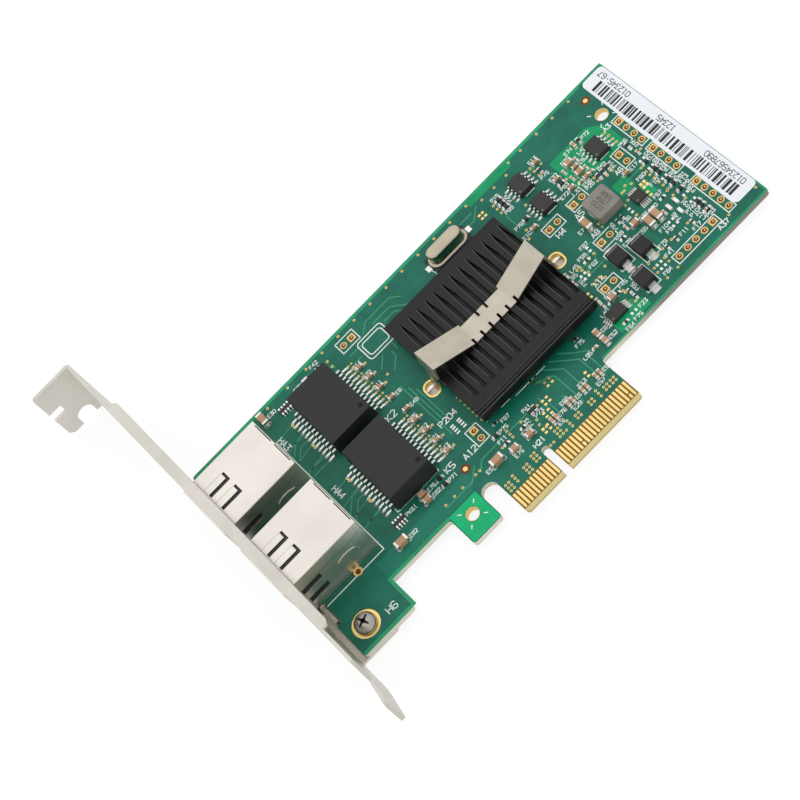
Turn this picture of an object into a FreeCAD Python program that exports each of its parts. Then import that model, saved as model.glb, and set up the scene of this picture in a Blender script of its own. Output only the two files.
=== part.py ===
import FreeCAD, Part
import Sketcher
import math
import os
import re

# Network interface card with two jacks, lying with its component side up.
# All places are in the card's own drawing frame, in millimetres: zero across is the first
# edge contact, zero along is the bottom of the contact tongue, zero in height is the
# component side of the board. Each piece is then moved so that the origin of the part
# lies under the middle of the card, level with its lowest point.

SIZES = {
    # board
    "board_thick": 1.57,
    "board_left": -46.1,
    "board_right": 84.85,
    "board_top": 68.9,
    "board_foot": 3.9,
    "foot_right": -31.5,
    "shoulder": 12.35,
    "hook_left": -13.2,
    "hook_right": -4.9,
    "tongue_left": -0.65,
    "tongue_right": 33.65,
    "slot_top": 12.2,
    "far_edge": 13.05,
    "key_left": 10.55,
    "key_right": 12.45,
    "key_top": 8.45,
    "tongue_round": 0.95,
    "corner_round": 0.8,
    "bevel_rise": 1.0,
    "bevel_depth": 0.45,
    # plated holes and rings
    "plating": 0.04,
    "tool_hole": 3.2,
    "tool_ring": 4.0,
    "near_tool_x": -8.9,
    "near_tool_y": 9.4,
    "far_tool_x": 75.8,
    "far_tool_y": 58.3,
    "leg_hole_x": -34.6,
    "leg_hole_gap": 0.85,
    "leg_hole": 0.8,
    "leg_ring": 1.5,
    # contacts of the card edge
    "finger_pitch": 1.0,
    "finger_wide": 0.7,
    "finger_top": 5.57,
    "finger_short": 1.5,
    "first_fingers": 11,
    "second_fingers": 21,
    "second_start": 13.0,
    "front_short_one": 18.0,
    "front_short_two": 32.0,
    "back_short": 0.0,
    # bracket, one folded sheet
    "sheet_thick": 0.86,
    "plate_inner": -47.6,
    "tab_end": -59.2,
    "tab_top": 105.0,
    "plate_upper": 15.87,
    "taper_start": -4.2,
    "taper_end": -8.0,
    "tongue_tip": -15.0,
    "tongue_lean": 1.3,
    "tongue_low": 1.6,
    "tongue_high": 11.8,
    "tongue_corner": 1.8,
    "bend_round": 1.0,
    "flange_wide": 2.66,
    "flange_start": 6.2,
    "flange_end": 87.5,
    "flange_corner": 1.5,
    "ear_end": -36.5,
    "ear_top": 13.5,
    "ear_strip_top": 22.0,
    "ear_strip_end": -44.6,
    "ear_corner": 1.5,
    "lip_left": -45.75,
    "lip_start": 14.3,
    "lip_end": 20.0,
    "lip_high": 1.0,
    "lip_gap": 0.3,
    "notch_x": -53.1,
    "notch_wide": 4.42,
    "notch_end": 2.1,
    "align_low": 5.2,
    "align_high": 8.3,
    "align_deep": 3.4,
    "tab_cut": 1.3,
    "jack_gap": 0.3,
    # bracket screw
    "screw_x": -41.2,
    "screw_y": 9.3,
    "screw_hole": 3.2,
    "screw_pad": 6.7,
    "screw_shank": 2.9,
    "ear_hole_gap": 0.1,
    "screw_tip": 3.0,
    "head_wide": 5.2,
    "head_high": 1.9,
    "head_crown": 0.7,
    "recess_long": 2.7,
    "recess_wide": 0.75,
    "recess_deep": 1.1,
    # jacks
    "jack_front": -49.0,
    "jack_back": -27.5,
    "jack_wide": 15.8,
    "jack_high": 13.0,
    "jack_1_y": 50.4,
    "jack_2_y": 28.65,
    "shield_thick": 0.25,
    "housing_gap": 0.05,
    "plug_wide": 11.9,
    "plug_floor": 3.6,
    "plug_roof": 10.4,
    "plug_deep": 14.0,
    "latch_wide": 6.2,
    "latch_floor": 2.0,
    "latch_key_wide": 3.3,
    "latch_key_floor": 1.2,
    "spring_start": 3.5,
    "spring_end": 9.3,
    "slit_wide": 0.65,
    "slit_high": 1.0,
    "slit_reach": 2.6,
    "slit_one": 1.3,
    "slit_two": -3.3,
    "side_slot_start": 3.1,
    "side_slot_end": 8.6,
    "side_slot_high": 1.9,
    "side_slot_low": 3.0,
    "side_slot_upper": 7.2,
    "emboss_start": 12.2,
    "emboss_end": 18.3,
    "emboss_low": 3.0,
    "emboss_high": 7.2,
    "emboss_out": 0.15,
    "leg_x": -36.5,
    "leg_wide": 1.4,
    "leg_slot_gap": 0.15,
    "solder_side": 1.0,
    "peg_x": -40.2,
    "peg_y": 5.6,
    "peg_wide": 3.1,
    "peg_gap": 0.08,
    "pin_front_x": -33.4,
    "pin_rows": 2.54,
    "pin_wide": 0.46,
    "pin_hole": 0.9,
    "pin_step": 1.02,
    "wire_wide": 0.35,
    "wire_start": 1.2,
    "wire_root": 1.0,
    "wire_end": 10.6,
    "wire_drop": 2.15,
    "wire_thick": 0.3,
    "light_edge": 1.5,
    "light_wide": 2.4,
    "light_high": 1.4,
    "light_low": 10.9,
    "light_deep": 2.5,
    "light_gap": 0.05,
    # controller, pad and heat sink
    "chip_side": 17.0,
    "chip_high": 1.9,
    "pad_thick": 0.2,
    "sink_x": 24.55,
    "sink_y": 39.3,
    "sink_wide": 34.7,
    "sink_long": 34.9,
    "sink_thick": 2.4,
    "groove_first": 3.0,
    "groove_pitch": 2.575,
    "groove_count": 13,
    "groove_wide": 1.1,
    "groove_start": 4.75,
    "groove_full": 27.5,
    "groove_end": 33.0,
    "groove_deep": 1.6,
    "rib_wide": 0.35,
    "rib_deep": 0.25,
    "rib_one": 0.5,
    "rib_two": 1.6,
    "rib_three": 3.2,
    # spring clip
    "clip_thick": 0.5,
    "clip_wide": 6.7,
    "clip_flat": 6.0,
    "clip_rise": 5.1,
    "clip_flange": 4.2,
    "clip_slope": 0.16,
    "clip_gap": 0.1,
    "clip_leg": 2.4,
    "clip_hook": 0.65,
    "slot_gap": 0.1,
    "slot_long": 3.0,
    "slot_wide": 4.0,
    "slot_ring": 0.5,
    "slot_corner": 0.8,
    "clip_waist": 11.8,
    "clip_waist_deep": 0.8,
    "clip_notch": 0.6,
    "clip_notch_deep": 1.5,
    "clip_notch_first": -6.5,
    "clip_notches": 6,
    # crystal
    "crystal_x": 30.5,
    "crystal_y": 62.4,
    "crystal_base_long": 11.4,
    "crystal_base_wide": 5.0,
    "crystal_base_high": 0.4,
    "crystal_edge": 0.17,
    "crystal_flange_high": 0.4,
    "can_edge": 0.65,
    "can_high": 3.1,
    "crystal_lead_long": 1.2,
    "crystal_lead_wide": 1.6,
    "crystal_lead_thick": 0.15,
    # inductor
    "coil_x": 59.8,
    "coil_y": 40.1,
    "coil_side": 6.6,
    "coil_high": 2.8,
    "coil_lift": 0.1,
    "coil_corner": 0.7,
    "coil_plate": 0.2,
    "coil_plate_wide": 2.4,
    "coil_plate_high": 1.5,
    "coil_plate_under": 1.3,
    # label
    "label_left": 78.1,
    "label_right": 84.7,
    "label_low": 16.2,
    "label_high": 68.1,
    "label_thick": 0.1,
    "label_corner": 1.2,
    # chip capacitors, resistors and resistor arrays: length, width and height
    "small_cap_long": 1.6,
    "small_cap_wide": 0.8,
    "small_cap_high": 0.8,
    "middle_cap_long": 2.0,
    "middle_cap_wide": 1.25,
    "middle_cap_high": 1.2,
    "large_cap_long": 3.2,
    "large_cap_wide": 1.6,
    "large_cap_high": 1.6,
    "resistor_long": 1.6,
    "resistor_wide": 0.8,
    "resistor_high": 0.45,
    "array_long": 3.2,
    "array_wide": 1.6,
    "array_high": 0.6,
    "array_end": 0.4,
    "array_out": 0.25,
    "array_pitch": 0.8,
    "array_ends": 4,
}

# Packages with bent leads: body across the leads, body along the rows, lowest and highest
# face, top of the lead where it leaves the body, foot, and the leads of one side.
PACKAGES = {
    "magnetics": {"across": 12.1, "along": 17.4, "lift": 0.1, "high": 6.1, "crown": 0.33,
                  "shoulder": 1.7, "out": 0.95, "reach": 2.5, "thick": 0.25, "wide": 0.45,
                  "pitch": 1.29, "count": 12},
    "memory": {"across": 3.9, "along": 4.9, "lift": 0.1, "high": 1.6, "crown": 0.12,
               "shoulder": 0.9, "out": 0.3, "reach": 1.05, "thick": 0.2, "wide": 0.42,
               "pitch": 1.27, "count": 4},
    "regulator": {"across": 3.0, "along": 3.0, "lift": 0.08, "high": 1.0, "crown": 0.08,
                  "shoulder": 0.6, "out": 0.25, "reach": 0.95, "thick": 0.15, "wide": 0.24,
                  "pitch": 0.5, "count": 5},
    "switch": {"across": 4.4, "along": 3.0, "lift": 0.08, "high": 1.05, "crown": 0.1,
               "shoulder": 0.6, "out": 0.25, "reach": 1.0, "thick": 0.15, "wide": 0.3,
               "pitch": 0.65, "count": 4},
    "rectifier": {"across": 4.4, "along": 3.6, "lift": 0.1, "high": 2.3, "crown": 0.15,
                  "shoulder": 1.2, "out": 0.4, "reach": 1.1, "thick": 0.25, "wide": 2.0,
                  "pitch": 2.5, "count": 1},
}

# Where each package lies: its name, its kind, its middle and its turn in degrees.
CHIPS = [
    ("magnetics_1", "magnetics", -13.1, 52.4, 0),
    ("magnetics_2", "magnetics", -13.1, 31.8, 0),
    ("memory_chip_1", "memory", 51.8, 60.1, 0),
    ("memory_chip_2", "memory", 51.8, 52.3, 0),
    ("memory_chip_3", "memory", 69.0, 52.3, 0),
    ("regulator_chip", "regulator", 66.3, 35.4, 90),
    ("switch_chip", "switch", 43.6, 18.5, 0),
    ("rectifier_1", "rectifier", 53.0, 27.7, 90),
    ("rectifier_2", "rectifier", 58.1, 25.3, 90),
    ("rectifier_3", "rectifier", 53.0, 19.2, 90),
]

# Where each chip part lies: its middle, and whether it lies along the card's length.
ALONG, UP = True, False
CHIP_PARTS = {"small_cap": [
    (-2.4, 57.0, ALONG), (-2.4, 53.3, ALONG), (-2.4, 49.3, ALONG), (-2.4, 45.2, ALONG),
    (-2.1, 40.3, ALONG),
    (-2.5, 36.5, ALONG), (-2.5, 32.6, ALONG), (-2.5, 28.8, ALONG), (-2.5, 25.0, ALONG),
    (58.0, 62.0, ALONG), (58.0, 54.5, ALONG), (46.4, 49.7, ALONG), (58.6, 50.0, ALONG),
    (66.4, 57.7, UP), (68.7, 42.3, ALONG), (62.8, 53.3, ALONG), (62.7, 49.3, ALONG),
    (17.0, 11.1, UP), (18.2, 11.1, UP), (22.0, 11.1, UP), (23.2, 11.1, UP),
    (26.2, 11.1, UP), (27.4, 11.1, UP), (30.3, 11.1, UP), (31.5, 11.1, UP),
], "middle_cap": [
    (7.3, 13.0, ALONG), (11.8, 12.8, ALONG), (-13.3, 21.5, ALONG), (-13.3, 19.7, ALONG),
    (61.2, 31.2, ALONG), (62.5, 55.1, ALONG), (62.5, 51.3, ALONG), (45.6, 22.0, ALONG),
    (37.4, 18.2, UP), (37.4, 15.6, UP),
], "large_cap": [
    (-25.7, 65.6, UP), (-23.6, 16.7, ALONG), (2.9, 13.9, ALONG), (54.3, 40.0, UP),
    (63.4, 28.6, UP), (65.6, 28.6, UP),
], "resistor": [
    (-8.3, 21.5, ALONG), (-8.3, 19.5, ALONG), (6.6, 18.8, ALONG), (15.4, 16.7, UP),
    (16.6, 16.7, UP), (58.0, 52.9, ALONG), (46.1, 62.1, ALONG), (46.1, 60.7, ALONG),
    (46.1, 59.3, ALONG), (57.2, 59.5, UP), (46.8, 53.0, ALONG), (67.9, 57.7, UP),
    (64.4, 47.0, UP), (65.8, 47.0, UP), (67.2, 47.0, UP), (73.7, 47.2, UP),
    (73.4, 40.7, ALONG), (73.4, 37.9, ALONG), (73.4, 36.3, ALONG), (73.4, 33.3, ALONG),
    (73.4, 31.6, ALONG), (73.4, 29.3, ALONG), (73.4, 23.8, ALONG), (73.4, 22.4, ALONG),
    (73.4, 20.6, ALONG),
], "array": [(-20.4, 63.7, ALONG), (-20.8, 21.1, ALONG)]}

doc = FreeCAD.newDocument("network_interface_card")
sheet = doc.addObject("Spreadsheet::Sheet", "Sizes")
aliases = set()
nodes = []


def add_cell(alias, number):
    """Put one plain number in the sheet, under a name of its own."""
    address = "%s%d" % ("ABCD"[len(aliases) % 4], len(aliases) // 4 + 1)
    sheet.set(address, str(number))
    sheet.setAlias(address, alias)
    aliases.add(alias)


for alias, number in SIZES.items():
    add_cell(alias, number)
for kind, package in PACKAGES.items():
    for part, number in package.items():
        add_cell("%s_%s" % (kind, part), number)
for name, kind, across, up, turn in CHIPS:
    add_cell(name + "_across", across)
    add_cell(name + "_up", up)
placed = {}
for kind, spots in CHIP_PARTS.items():
    placed[kind] = []
    for count, (across, up, along) in enumerate(spots, 1):
        name = "%s_%d" % (kind, count)
        add_cell(name + "_across", across)
        add_cell(name + "_up", up)
        placed[kind].append((name, along))
doc.recompute()


def cells(rule):
    """Turn the names in a rule into cells of the sheet."""
    return re.sub(r"[a-z]\w*", lambda word: "Sizes." + word.group()
                  if word.group() in aliases else word.group(), rule)


def number(rule):
    """The value of a rule."""
    return float(sheet.evalExpression(cells(rule)))


# Rules that more than one piece shares.
ORIGIN = ("(board_right + tab_end) / 2", "(tab_top + tongue_tip) / 2", "-screw_tip")
BACK = "(-board_thick)"
EAR_LOW = "(-board_thick - sheet_thick)"
PLATE_OUTER = "(plate_inner - sheet_thick)"
JACKS = ("jack_1", "jack_2")
LEG_HOLE_Y = "(jack_2_y - jack_wide / 2 - leg_hole_gap)"
LIGHT_Y = "(jack_wide / 2 - light_edge - light_wide / 2)"
SOLDER_TIP = "(board_thick + solder_side)"
SINK_BASE = "(chip_high + pad_thick)"
SINK_TOP = "(chip_high + pad_thick + sink_thick)"
SINK_LEFT = "(sink_x - sink_wide / 2)"
SINK_LOW = "(sink_y - sink_long / 2)"
PIN_SIDES, PEG_SIDES, RING_SIDES = 8, 10, 20
LIP_SLOT = "(lip_left + sheet_thick + lip_gap)"


def leg_place(side, height, outer):
    """Where a face of a clip leg stands across the card at a height: it leans outward."""
    face = "clip_thick" if outer else "0"
    return "(sink_x %s (sink_wide / 2 + clip_gap + %s - clip_slope * (%s - %s)))" % (
        side, face, height, SINK_TOP)


def place(item, x="0", y="0", z="0", turn=0):
    """Set a piece where the card carries it, turned about its own upright axis."""
    item.Placement = FreeCAD.Placement(FreeCAD.Vector(),
                                       FreeCAD.Rotation(FreeCAD.Vector(0, 0, 1), turn))
    for axis, rule, origin in zip("xyz", (x, y, z), ORIGIN):
        item.setExpression("Placement.Base." + axis, cells("%s - (%s)" % (rule, origin)))


def new_body(label, x="0", y="0", z="0", turn=0):
    """Start a piece and note it as one to hand over."""
    body = doc.addObject("PartDesign::Body", label)
    body.Label = label
    place(body, x, y, z, turn)
    nodes.append(body)
    return body


def origin_part(body, role):
    """A plane or an axis of the piece's own origin."""
    return next(part for part in body.Origin.OriginFeatures if part.Role == role)


def box(left, low, right, high):
    """The four corners of an upright rectangle."""
    return [(left, low), (right, low), (right, high), (left, high)]


def middle_box(x, y, wide, long):
    """The four corners of a rectangle about its middle."""
    return box("%s - (%s) / 2" % (x, wide), "%s - (%s) / 2" % (y, long),
               "%s + (%s) / 2" % (x, wide), "%s + (%s) / 2" % (y, long))


def bind(drawing, constraints, rules):
    """Add constraints to a sketch, each held by its own rule."""
    for index, rule in zip(drawing.addConstraint(constraints), rules):
        if rule is not None:
            drawing.setExpression("Constraints[%d]" % index, cells(rule))


def draw(body, role, loops, lift="0"):
    """A sketch on a plane of the piece: loops of corners, or circles (x, y, diameter)."""
    drawing = body.newObject("Sketcher::SketchObject", body.Name + "_sketch")
    drawing.AttachmentSupport = (origin_part(body, role), [""])
    drawing.MapMode = "FlatFace"
    drawing.setExpression("AttachmentOffset.Base.z", cells(lift))
    for loop in loops:
        constraints = []
        rules = []
        if isinstance(loop, tuple):
            x, y, diameter = loop
            centre = FreeCAD.Vector(number(x), number(y), 0)
            ring = drawing.addGeometry(
                Part.Circle(centre, FreeCAD.Vector(0, 0, 1), number(diameter) / 2), False)
            constraints.append(Sketcher.Constraint("DistanceX", -1, 1, ring, 3, centre.x))
            constraints.append(Sketcher.Constraint("DistanceY", -1, 1, ring, 3, centre.y))
            constraints.append(Sketcher.Constraint("Diameter", ring, number(diameter)))
            bind(drawing, constraints, [x, y, diameter])
            continue
        corners = [FreeCAD.Vector(number(x), number(y), 0) for x, y in loop]
        lines = [Part.LineSegment(corner, corners[(i + 1) % len(corners)])
                 for i, corner in enumerate(corners)]
        first = drawing.addGeometry(lines, False)[0]
        for i, corner in enumerate(corners):
            after = first + (i + 1) % len(corners)
            constraints.append(Sketcher.Constraint("Coincident", first + i, 2, after, 1))
            constraints.append(
                Sketcher.Constraint("DistanceX", -1, 1, first + i, 1, corner.x))
            constraints.append(
                Sketcher.Constraint("DistanceY", -1, 1, first + i, 1, corner.y))
            rules += [None, loop[i][0], loop[i][1]]
        bind(drawing, constraints, rules)
    return drawing


def grow(body, role, loops, lift, length):
    """Add solid: a sketch padded along the plane's own direction."""
    drawing = draw(body, role, loops, lift)
    pad = body.newObject("PartDesign::Pad", body.Name + "_pad")
    pad.Profile = drawing
    pad.setExpression("Length", cells(length))
    body.Tip = pad
    doc.recompute()
    return pad


def cut(body, role, loops, lift, length, onward=True):
    """Take solid away: onward runs along the plane's own direction, else against it."""
    before = body.Shape.Volume
    drawing = draw(body, role, loops, lift)
    pocket = body.newObject("PartDesign::Pocket", body.Name + "_cut")
    pocket.Profile = drawing
    pocket.Reversed = onward
    pocket.setExpression("Length", cells(length))
    body.Tip = pocket
    doc.recompute()
    if body.Shape.Volume >= before:
        raise ValueError("a cut in %s takes nothing away" % body.Label)
    return pocket


def many_sided(body, kind, x, y, lift, wide, sides, length):
    """Add or take away an upright many-sided peg, hole or ring about its middle."""
    peg = body.newObject("PartDesign::%sPrism" % kind, body.Name + "_sided")
    peg.AttachmentSupport = (origin_part(body, "XY_Plane"), [""])
    peg.MapMode = "FlatFace"
    peg.Polygon = sides
    for axis, rule in zip("xyz", (x, y, lift)):
        peg.setExpression("AttachmentOffset.Base." + axis, cells(rule))
    peg.setExpression("Circumradius", cells("(%s) / 2" % wide))
    peg.setExpression("Height", cells(length))
    body.Tip = peg
    return peg


def repeat(body, features, axis, pitch, count):
    """Repeat features of a piece in a row."""
    pattern = body.newObject("PartDesign::LinearPattern", body.Name + "_row")
    pattern.Originals = features
    pattern.Direction = (origin_part(body, axis), [""])
    pattern.Mode = "Spacing"
    pattern.setExpression("Offset", cells(pitch))
    pattern.setExpression("Occurrences", cells(count))
    body.Tip = pattern
    doc.recompute()
    return pattern


def round_edges(body, axis, spots, radius):
    """Round the edges that run along an axis through the given places."""
    seen = [i for i in range(3) if i != "xyz".index(axis)]
    goals = [[number(rule) for rule in spot] for spot in spots]
    names = []
    for i, edge in enumerate(body.Tip.Shape.Edges, 1):
        ends = [tuple(vertex.Point) for vertex in edge.Vertexes]
        if len(ends) != 2:
            continue
        for goal in goals:
            if all(abs(end[k] - want) < 0.02 for end in ends for k, want in zip(seen, goal)):
                names.append("Edge%d" % i)
                break
    if not names:
        raise ValueError("no edge to round on %s" % body.Label)
    base = body.Tip
    fillet = body.newObject("PartDesign::Fillet", body.Name + "_round")
    fillet.Base = (base, names)
    fillet.setExpression("Radius", cells(radius))
    body.Tip = fillet
    doc.recompute()


def clip_slot(side):
    """The slot of the board that a clip leg passes through."""
    inner = "(%s %s (-slot_gap))" % (leg_place(side, "0", False), side)
    outer = "(%s %s slot_long)" % (inner, side)
    if side == "-":
        inner, outer = outer, inner
    return inner, "(sink_y - slot_wide / 2)", outer, "(sink_y + slot_wide / 2)"


def cut_corners(left, low, right, high, corner):
    """A rectangle with its four corners cut off."""
    return [(left + " + " + corner, low), (right + " - " + corner, low),
            (right, low + " + " + corner), (right, high + " - " + corner),
            (right + " - " + corner, high), (left + " + " + corner, high),
            (left, high + " - " + corner), (left, low + " + " + corner)]


def make_board():
    """The board, with its contact tongue, key slot, hook, holes and slots."""
    body = new_body("circuit_board")
    outline = [
        ("board_left", "board_foot"), ("foot_right", "board_foot"),
        ("foot_right", "shoulder"), ("hook_left", "shoulder"),
        ("hook_left", "board_foot"), ("hook_right", "board_foot"),
        ("hook_right", "slot_top"), ("tongue_left", "slot_top"),
        ("tongue_left", "0"), ("key_left", "0"), ("key_left", "key_top"),
        ("key_right", "key_top"), ("key_right", "0"), ("tongue_right", "0"),
        ("tongue_right", "far_edge"), ("board_right", "far_edge"),
        ("board_right", "board_top"), ("board_left", "board_top"),
        ("board_left", "lip_end + lip_gap"), (LIP_SLOT, "lip_end + lip_gap"),
        (LIP_SLOT, "lip_start - lip_gap"), ("board_left", "lip_start - lip_gap"),
    ]
    loops = [outline,
             ("screw_x", "screw_y", "screw_hole"),
             ("near_tool_x", "near_tool_y", "tool_hole"),
             ("far_tool_x", "far_tool_y", "tool_hole")]
    grow(body, "XY_Plane", loops, BACK, "board_thick")
    round_edges(body, "z", [("tongue_left", "0"), ("tongue_right", "0")], "tongue_round")
    round_edges(body, "z", [("hook_right", "slot_top"), ("tongue_left", "slot_top")],
                "(tongue_left - hook_right) / 2 - 0.1")
    round_edges(body, "z", [("key_left", "key_top"), ("key_right", "key_top")],
                "(key_right - key_left) / 2 - 0.05")
    round_edges(body, "z", [("board_right", "far_edge"), ("board_right", "board_top"),
                            ("board_left", "board_top"), ("board_left", "board_foot"),
                            ("foot_right", "board_foot"), ("hook_left", "board_foot"),
                            ("hook_right", "board_foot"), ("hook_left", "shoulder"),
                            ("foot_right", "shoulder"), ("tongue_right", "far_edge")],
                "corner_round")
    bevel = [[("0", "0"), ("bevel_rise", "0"), ("0", "-bevel_depth")],
             [("0", BACK), ("bevel_rise", BACK), ("0", BACK + " + bevel_depth")]]
    cut(body, "YZ_Plane", bevel, "tongue_left", "tongue_right - tongue_left")
    slots = [cut_corners(*clip_slot(side), "slot_corner") for side in ("-", "+")]
    for jack in JACKS:
        for side in ("-", "+"):
            slots.append(middle_box("leg_x",
                                    "%s_y %s (jack_wide - shield_thick) / 2" % (jack, side),
                                    "leg_wide + 2 * leg_slot_gap",
                                    "shield_thick + 2 * leg_slot_gap"))
    cut(body, "XY_Plane", slots, BACK, "board_thick")
    many_sided(body, "Subtractive", "leg_hole_x", LEG_HOLE_Y, BACK, "leg_hole", PIN_SIDES,
               "board_thick")
    for jack in JACKS:
        pair = [many_sided(body, "Subtractive", "pin_front_x" + row,
                           "%s_y + pin_step * %s" % (jack, first), BACK, "pin_hole",
                           PIN_SIDES, "board_thick")
                for row, first in (("", -3.5), (" + pin_rows", -2.5))]
        repeat(body, pair, "Y_Axis", "pin_step * 2", "4")
        for side in ("-", "+"):
            many_sided(body, "Subtractive", "peg_x", "%s_y %s peg_y" % (jack, side), BACK,
                       "peg_wide + 2 * peg_gap", PEG_SIDES, "board_thick")


def make_plated_rings():
    """The plated rings round the screw hole, the clip slots and two more holes."""
    body = new_body("plated_rings")
    loops = []
    for side in ("-", "+"):
        left, low, right, high = clip_slot(side)
        loops.append(cut_corners(left + " - slot_ring", low + " - slot_ring",
                                 right + " + slot_ring", high + " + slot_ring",
                                 "(slot_corner + slot_ring / 2)"))
        loops.append(cut_corners(left, low, right, high, "slot_corner"))
    grow(body, "XY_Plane", loops, "0", "plating")
    for x, y, wide, hole, sides in (
            ("screw_x", "screw_y", "screw_pad", "screw_hole", RING_SIDES),
            ("near_tool_x", "near_tool_y", "tool_ring", "tool_hole", RING_SIDES),
            ("leg_hole_x", LEG_HOLE_Y, "leg_ring", "leg_hole", PIN_SIDES)):
        many_sided(body, "Additive", x, y, "0", wide, sides, "plating")
        many_sided(body, "Subtractive", x, y, "0", hole, sides, "plating")


def make_edge_contacts(side, lift, short_ones):
    """The contacts of one face of the tongue, some of them short."""
    body = new_body("edge_contacts_" + side)
    for start, count in (("0", "first_fingers"), ("second_start", "second_fingers")):
        shape = box("%s - finger_wide / 2" % start, "bevel_rise",
                    "%s + finger_wide / 2" % start, "finger_top")
        pad = grow(body, "XY_Plane", [shape], lift, "plating")
        repeat(body, [pad], "X_Axis", "finger_pitch", count)
    ends = [middle_box(spot, "(bevel_rise + finger_short) / 2", "finger_wide * 1.2",
                       "bevel_rise + finger_short") for spot in short_ones]
    cut(body, "XY_Plane", ends, lift, "plating")


def make_bracket():
    """The bracket: a folded sheet with a tab, a tongue, a flange, an ear and a lip."""
    body = new_body("bracket")
    fold = [("tab_end", "tab_top"), ("plate_inner", "tab_top"),
            ("plate_inner", "taper_end"), ("plate_inner - tongue_lean", "tongue_tip"),
            (PLATE_OUTER + " - tongue_lean", "tongue_tip"), (PLATE_OUTER, "taper_end"),
            (PLATE_OUTER, "tab_top - sheet_thick"), ("tab_end", "tab_top - sheet_thick")]
    grow(body, "XY_Plane", [fold], EAR_LOW, "plate_upper - " + EAR_LOW)
    round_edges(body, "z", [("plate_inner", "tab_top")], "bend_round")
    openings = [[("taper_start", EAR_LOW), ("taper_end", "tongue_low"),
                 ("tongue_tip - 1", "tongue_low"), ("tongue_tip - 1", EAR_LOW)],
                [("taper_start", "plate_upper"), ("taper_end", "tongue_high"),
                 ("tongue_tip - 1", "tongue_high"), ("tongue_tip - 1", "plate_upper")]]
    for jack in JACKS:
        openings.append(box("%s_y - jack_wide / 2 - jack_gap" % jack, "-jack_gap",
                            "%s_y + jack_wide / 2 + jack_gap" % jack,
                            "jack_high + jack_gap"))
    cut(body, "YZ_Plane", openings, PLATE_OUTER + " - 2 * tongue_lean",
        "4 * tongue_lean")
    round_edges(body, "x", [("tongue_tip", "tongue_low"), ("tongue_tip", "tongue_high")],
                "tongue_corner")
    notch = [box("notch_x - notch_wide / 2", EAR_LOW, "notch_x + notch_wide / 2",
                 "notch_end"),
             box("tab_end", "align_low", "tab_end + align_deep", "align_high"),
             [("tab_end", EAR_LOW + " + tab_cut"), ("tab_end", EAR_LOW),
              ("tab_end + tab_cut", EAR_LOW)]]
    cut(body, "XZ_Plane", notch, "-tab_top", "2 * sheet_thick")
    round_edges(body, "y", [("notch_x - notch_wide / 2", "notch_end"),
                            ("notch_x + notch_wide / 2", "notch_end")],
                "notch_wide / 2 - 0.02")
    round_edges(body, "y", [("tab_end", "plate_upper")], "bend_round")
    flange = box(PLATE_OUTER, "flange_start", PLATE_OUTER + " + flange_wide",
                 "flange_end")
    grow(body, "XY_Plane", [flange], "plate_upper - sheet_thick", "sheet_thick")
    round_edges(body, "z", [(PLATE_OUTER + " + flange_wide", "flange_start"),
                            (PLATE_OUTER + " + flange_wide", "flange_end")],
                "flange_corner")
    ear = [(PLATE_OUTER, "board_foot"), ("ear_end", "board_foot"), ("ear_end", "ear_top"),
           ("ear_strip_end", "ear_top"), ("ear_strip_end", "ear_strip_top"),
           (PLATE_OUTER, "ear_strip_top")]
    hole = ("screw_x", "screw_y", "screw_shank + ear_hole_gap")
    grow(body, "XY_Plane", [ear, hole], EAR_LOW, "sheet_thick")
    round_edges(body, "z", [("ear_end", "board_foot"), ("ear_end", "ear_top")],
                "ear_corner")
    lip = box("lip_start", EAR_LOW, "lip_end", "lip_high")
    grow(body, "YZ_Plane", [lip], "lip_left", "sheet_thick")


def make_screw():
    """The screw that holds the bracket's ear: a pan head with a cross recess."""
    body = new_body("bracket_screw", "screw_x", "screw_y")
    side = [("0", "-screw_tip"), ("screw_shank / 2", "-screw_tip"),
            ("screw_shank / 2", "plating"), ("head_wide / 2", "plating"),
            ("head_wide / 2", "plating + head_high - head_crown"),
            ("head_wide / 2 - head_crown", "plating + head_high"),
            ("0", "plating + head_high")]
    drawing = draw(body, "XZ_Plane", [side])
    turned = body.newObject("PartDesign::Revolution", "screw_turned")
    turned.Profile = drawing
    turned.ReferenceAxis = (origin_part(body, "Z_Axis"), [""])
    turned.Angle = 360
    body.Tip = turned
    doc.recompute()
    half, arm = "recess_wide / 2", "recess_long / 2"
    cross = [("-" + half, "-" + arm), (half, "-" + arm), (half, "-" + half),
             (arm, "-" + half), (arm, half), (half, half), (half, arm),
             ("-" + half, arm), ("-" + half, half), ("-" + arm, half),
             ("-" + arm, "-" + half), ("-" + half, "-" + half)]
    cut(body, "XY_Plane", [cross], "plating + head_high", "recess_deep", onward=False)


def plug_opening():
    """The outline that the plug passes through, with its latch side toward the board."""
    half = [("plug_wide / 2", "plug_roof"), ("plug_wide / 2", "plug_floor"),
            ("latch_wide / 2", "plug_floor"), ("latch_wide / 2", "latch_floor"),
            ("latch_key_wide / 2", "latch_floor"), ("latch_key_wide / 2", "latch_key_floor")]
    return half + [("-" + x, y) for x, y in reversed(half)]


def light_windows(gap):
    """The two windows of a jack, widened by a gap all round."""
    return [middle_box(side + LIGHT_Y, "(light_low + light_high / 2)",
                       "light_wide + 2 * %s" % gap, "light_high + 2 * %s" % gap)
            for side in ("-", "")]


def oval_outline(left, low, right, high):
    """A raised oval: two half rounds of four sides each, joined by straight runs."""
    radius, middle = "(%s - %s) / 2" % (high, low), "(%s + %s) / 2" % (high, low)
    corners = []
    for end, start, side in ((right, -90, "-"), (left, 90, "+")):
        for step in range(5):
            angle = math.radians(start + 45 * step)
            corners.append(("%s %s %s + %s * %.5f" % (end, side, radius, radius,
                                                       math.cos(angle)),
                            "%s + %s * %.5f" % (middle, radius, math.sin(angle))))
    return corners


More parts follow.
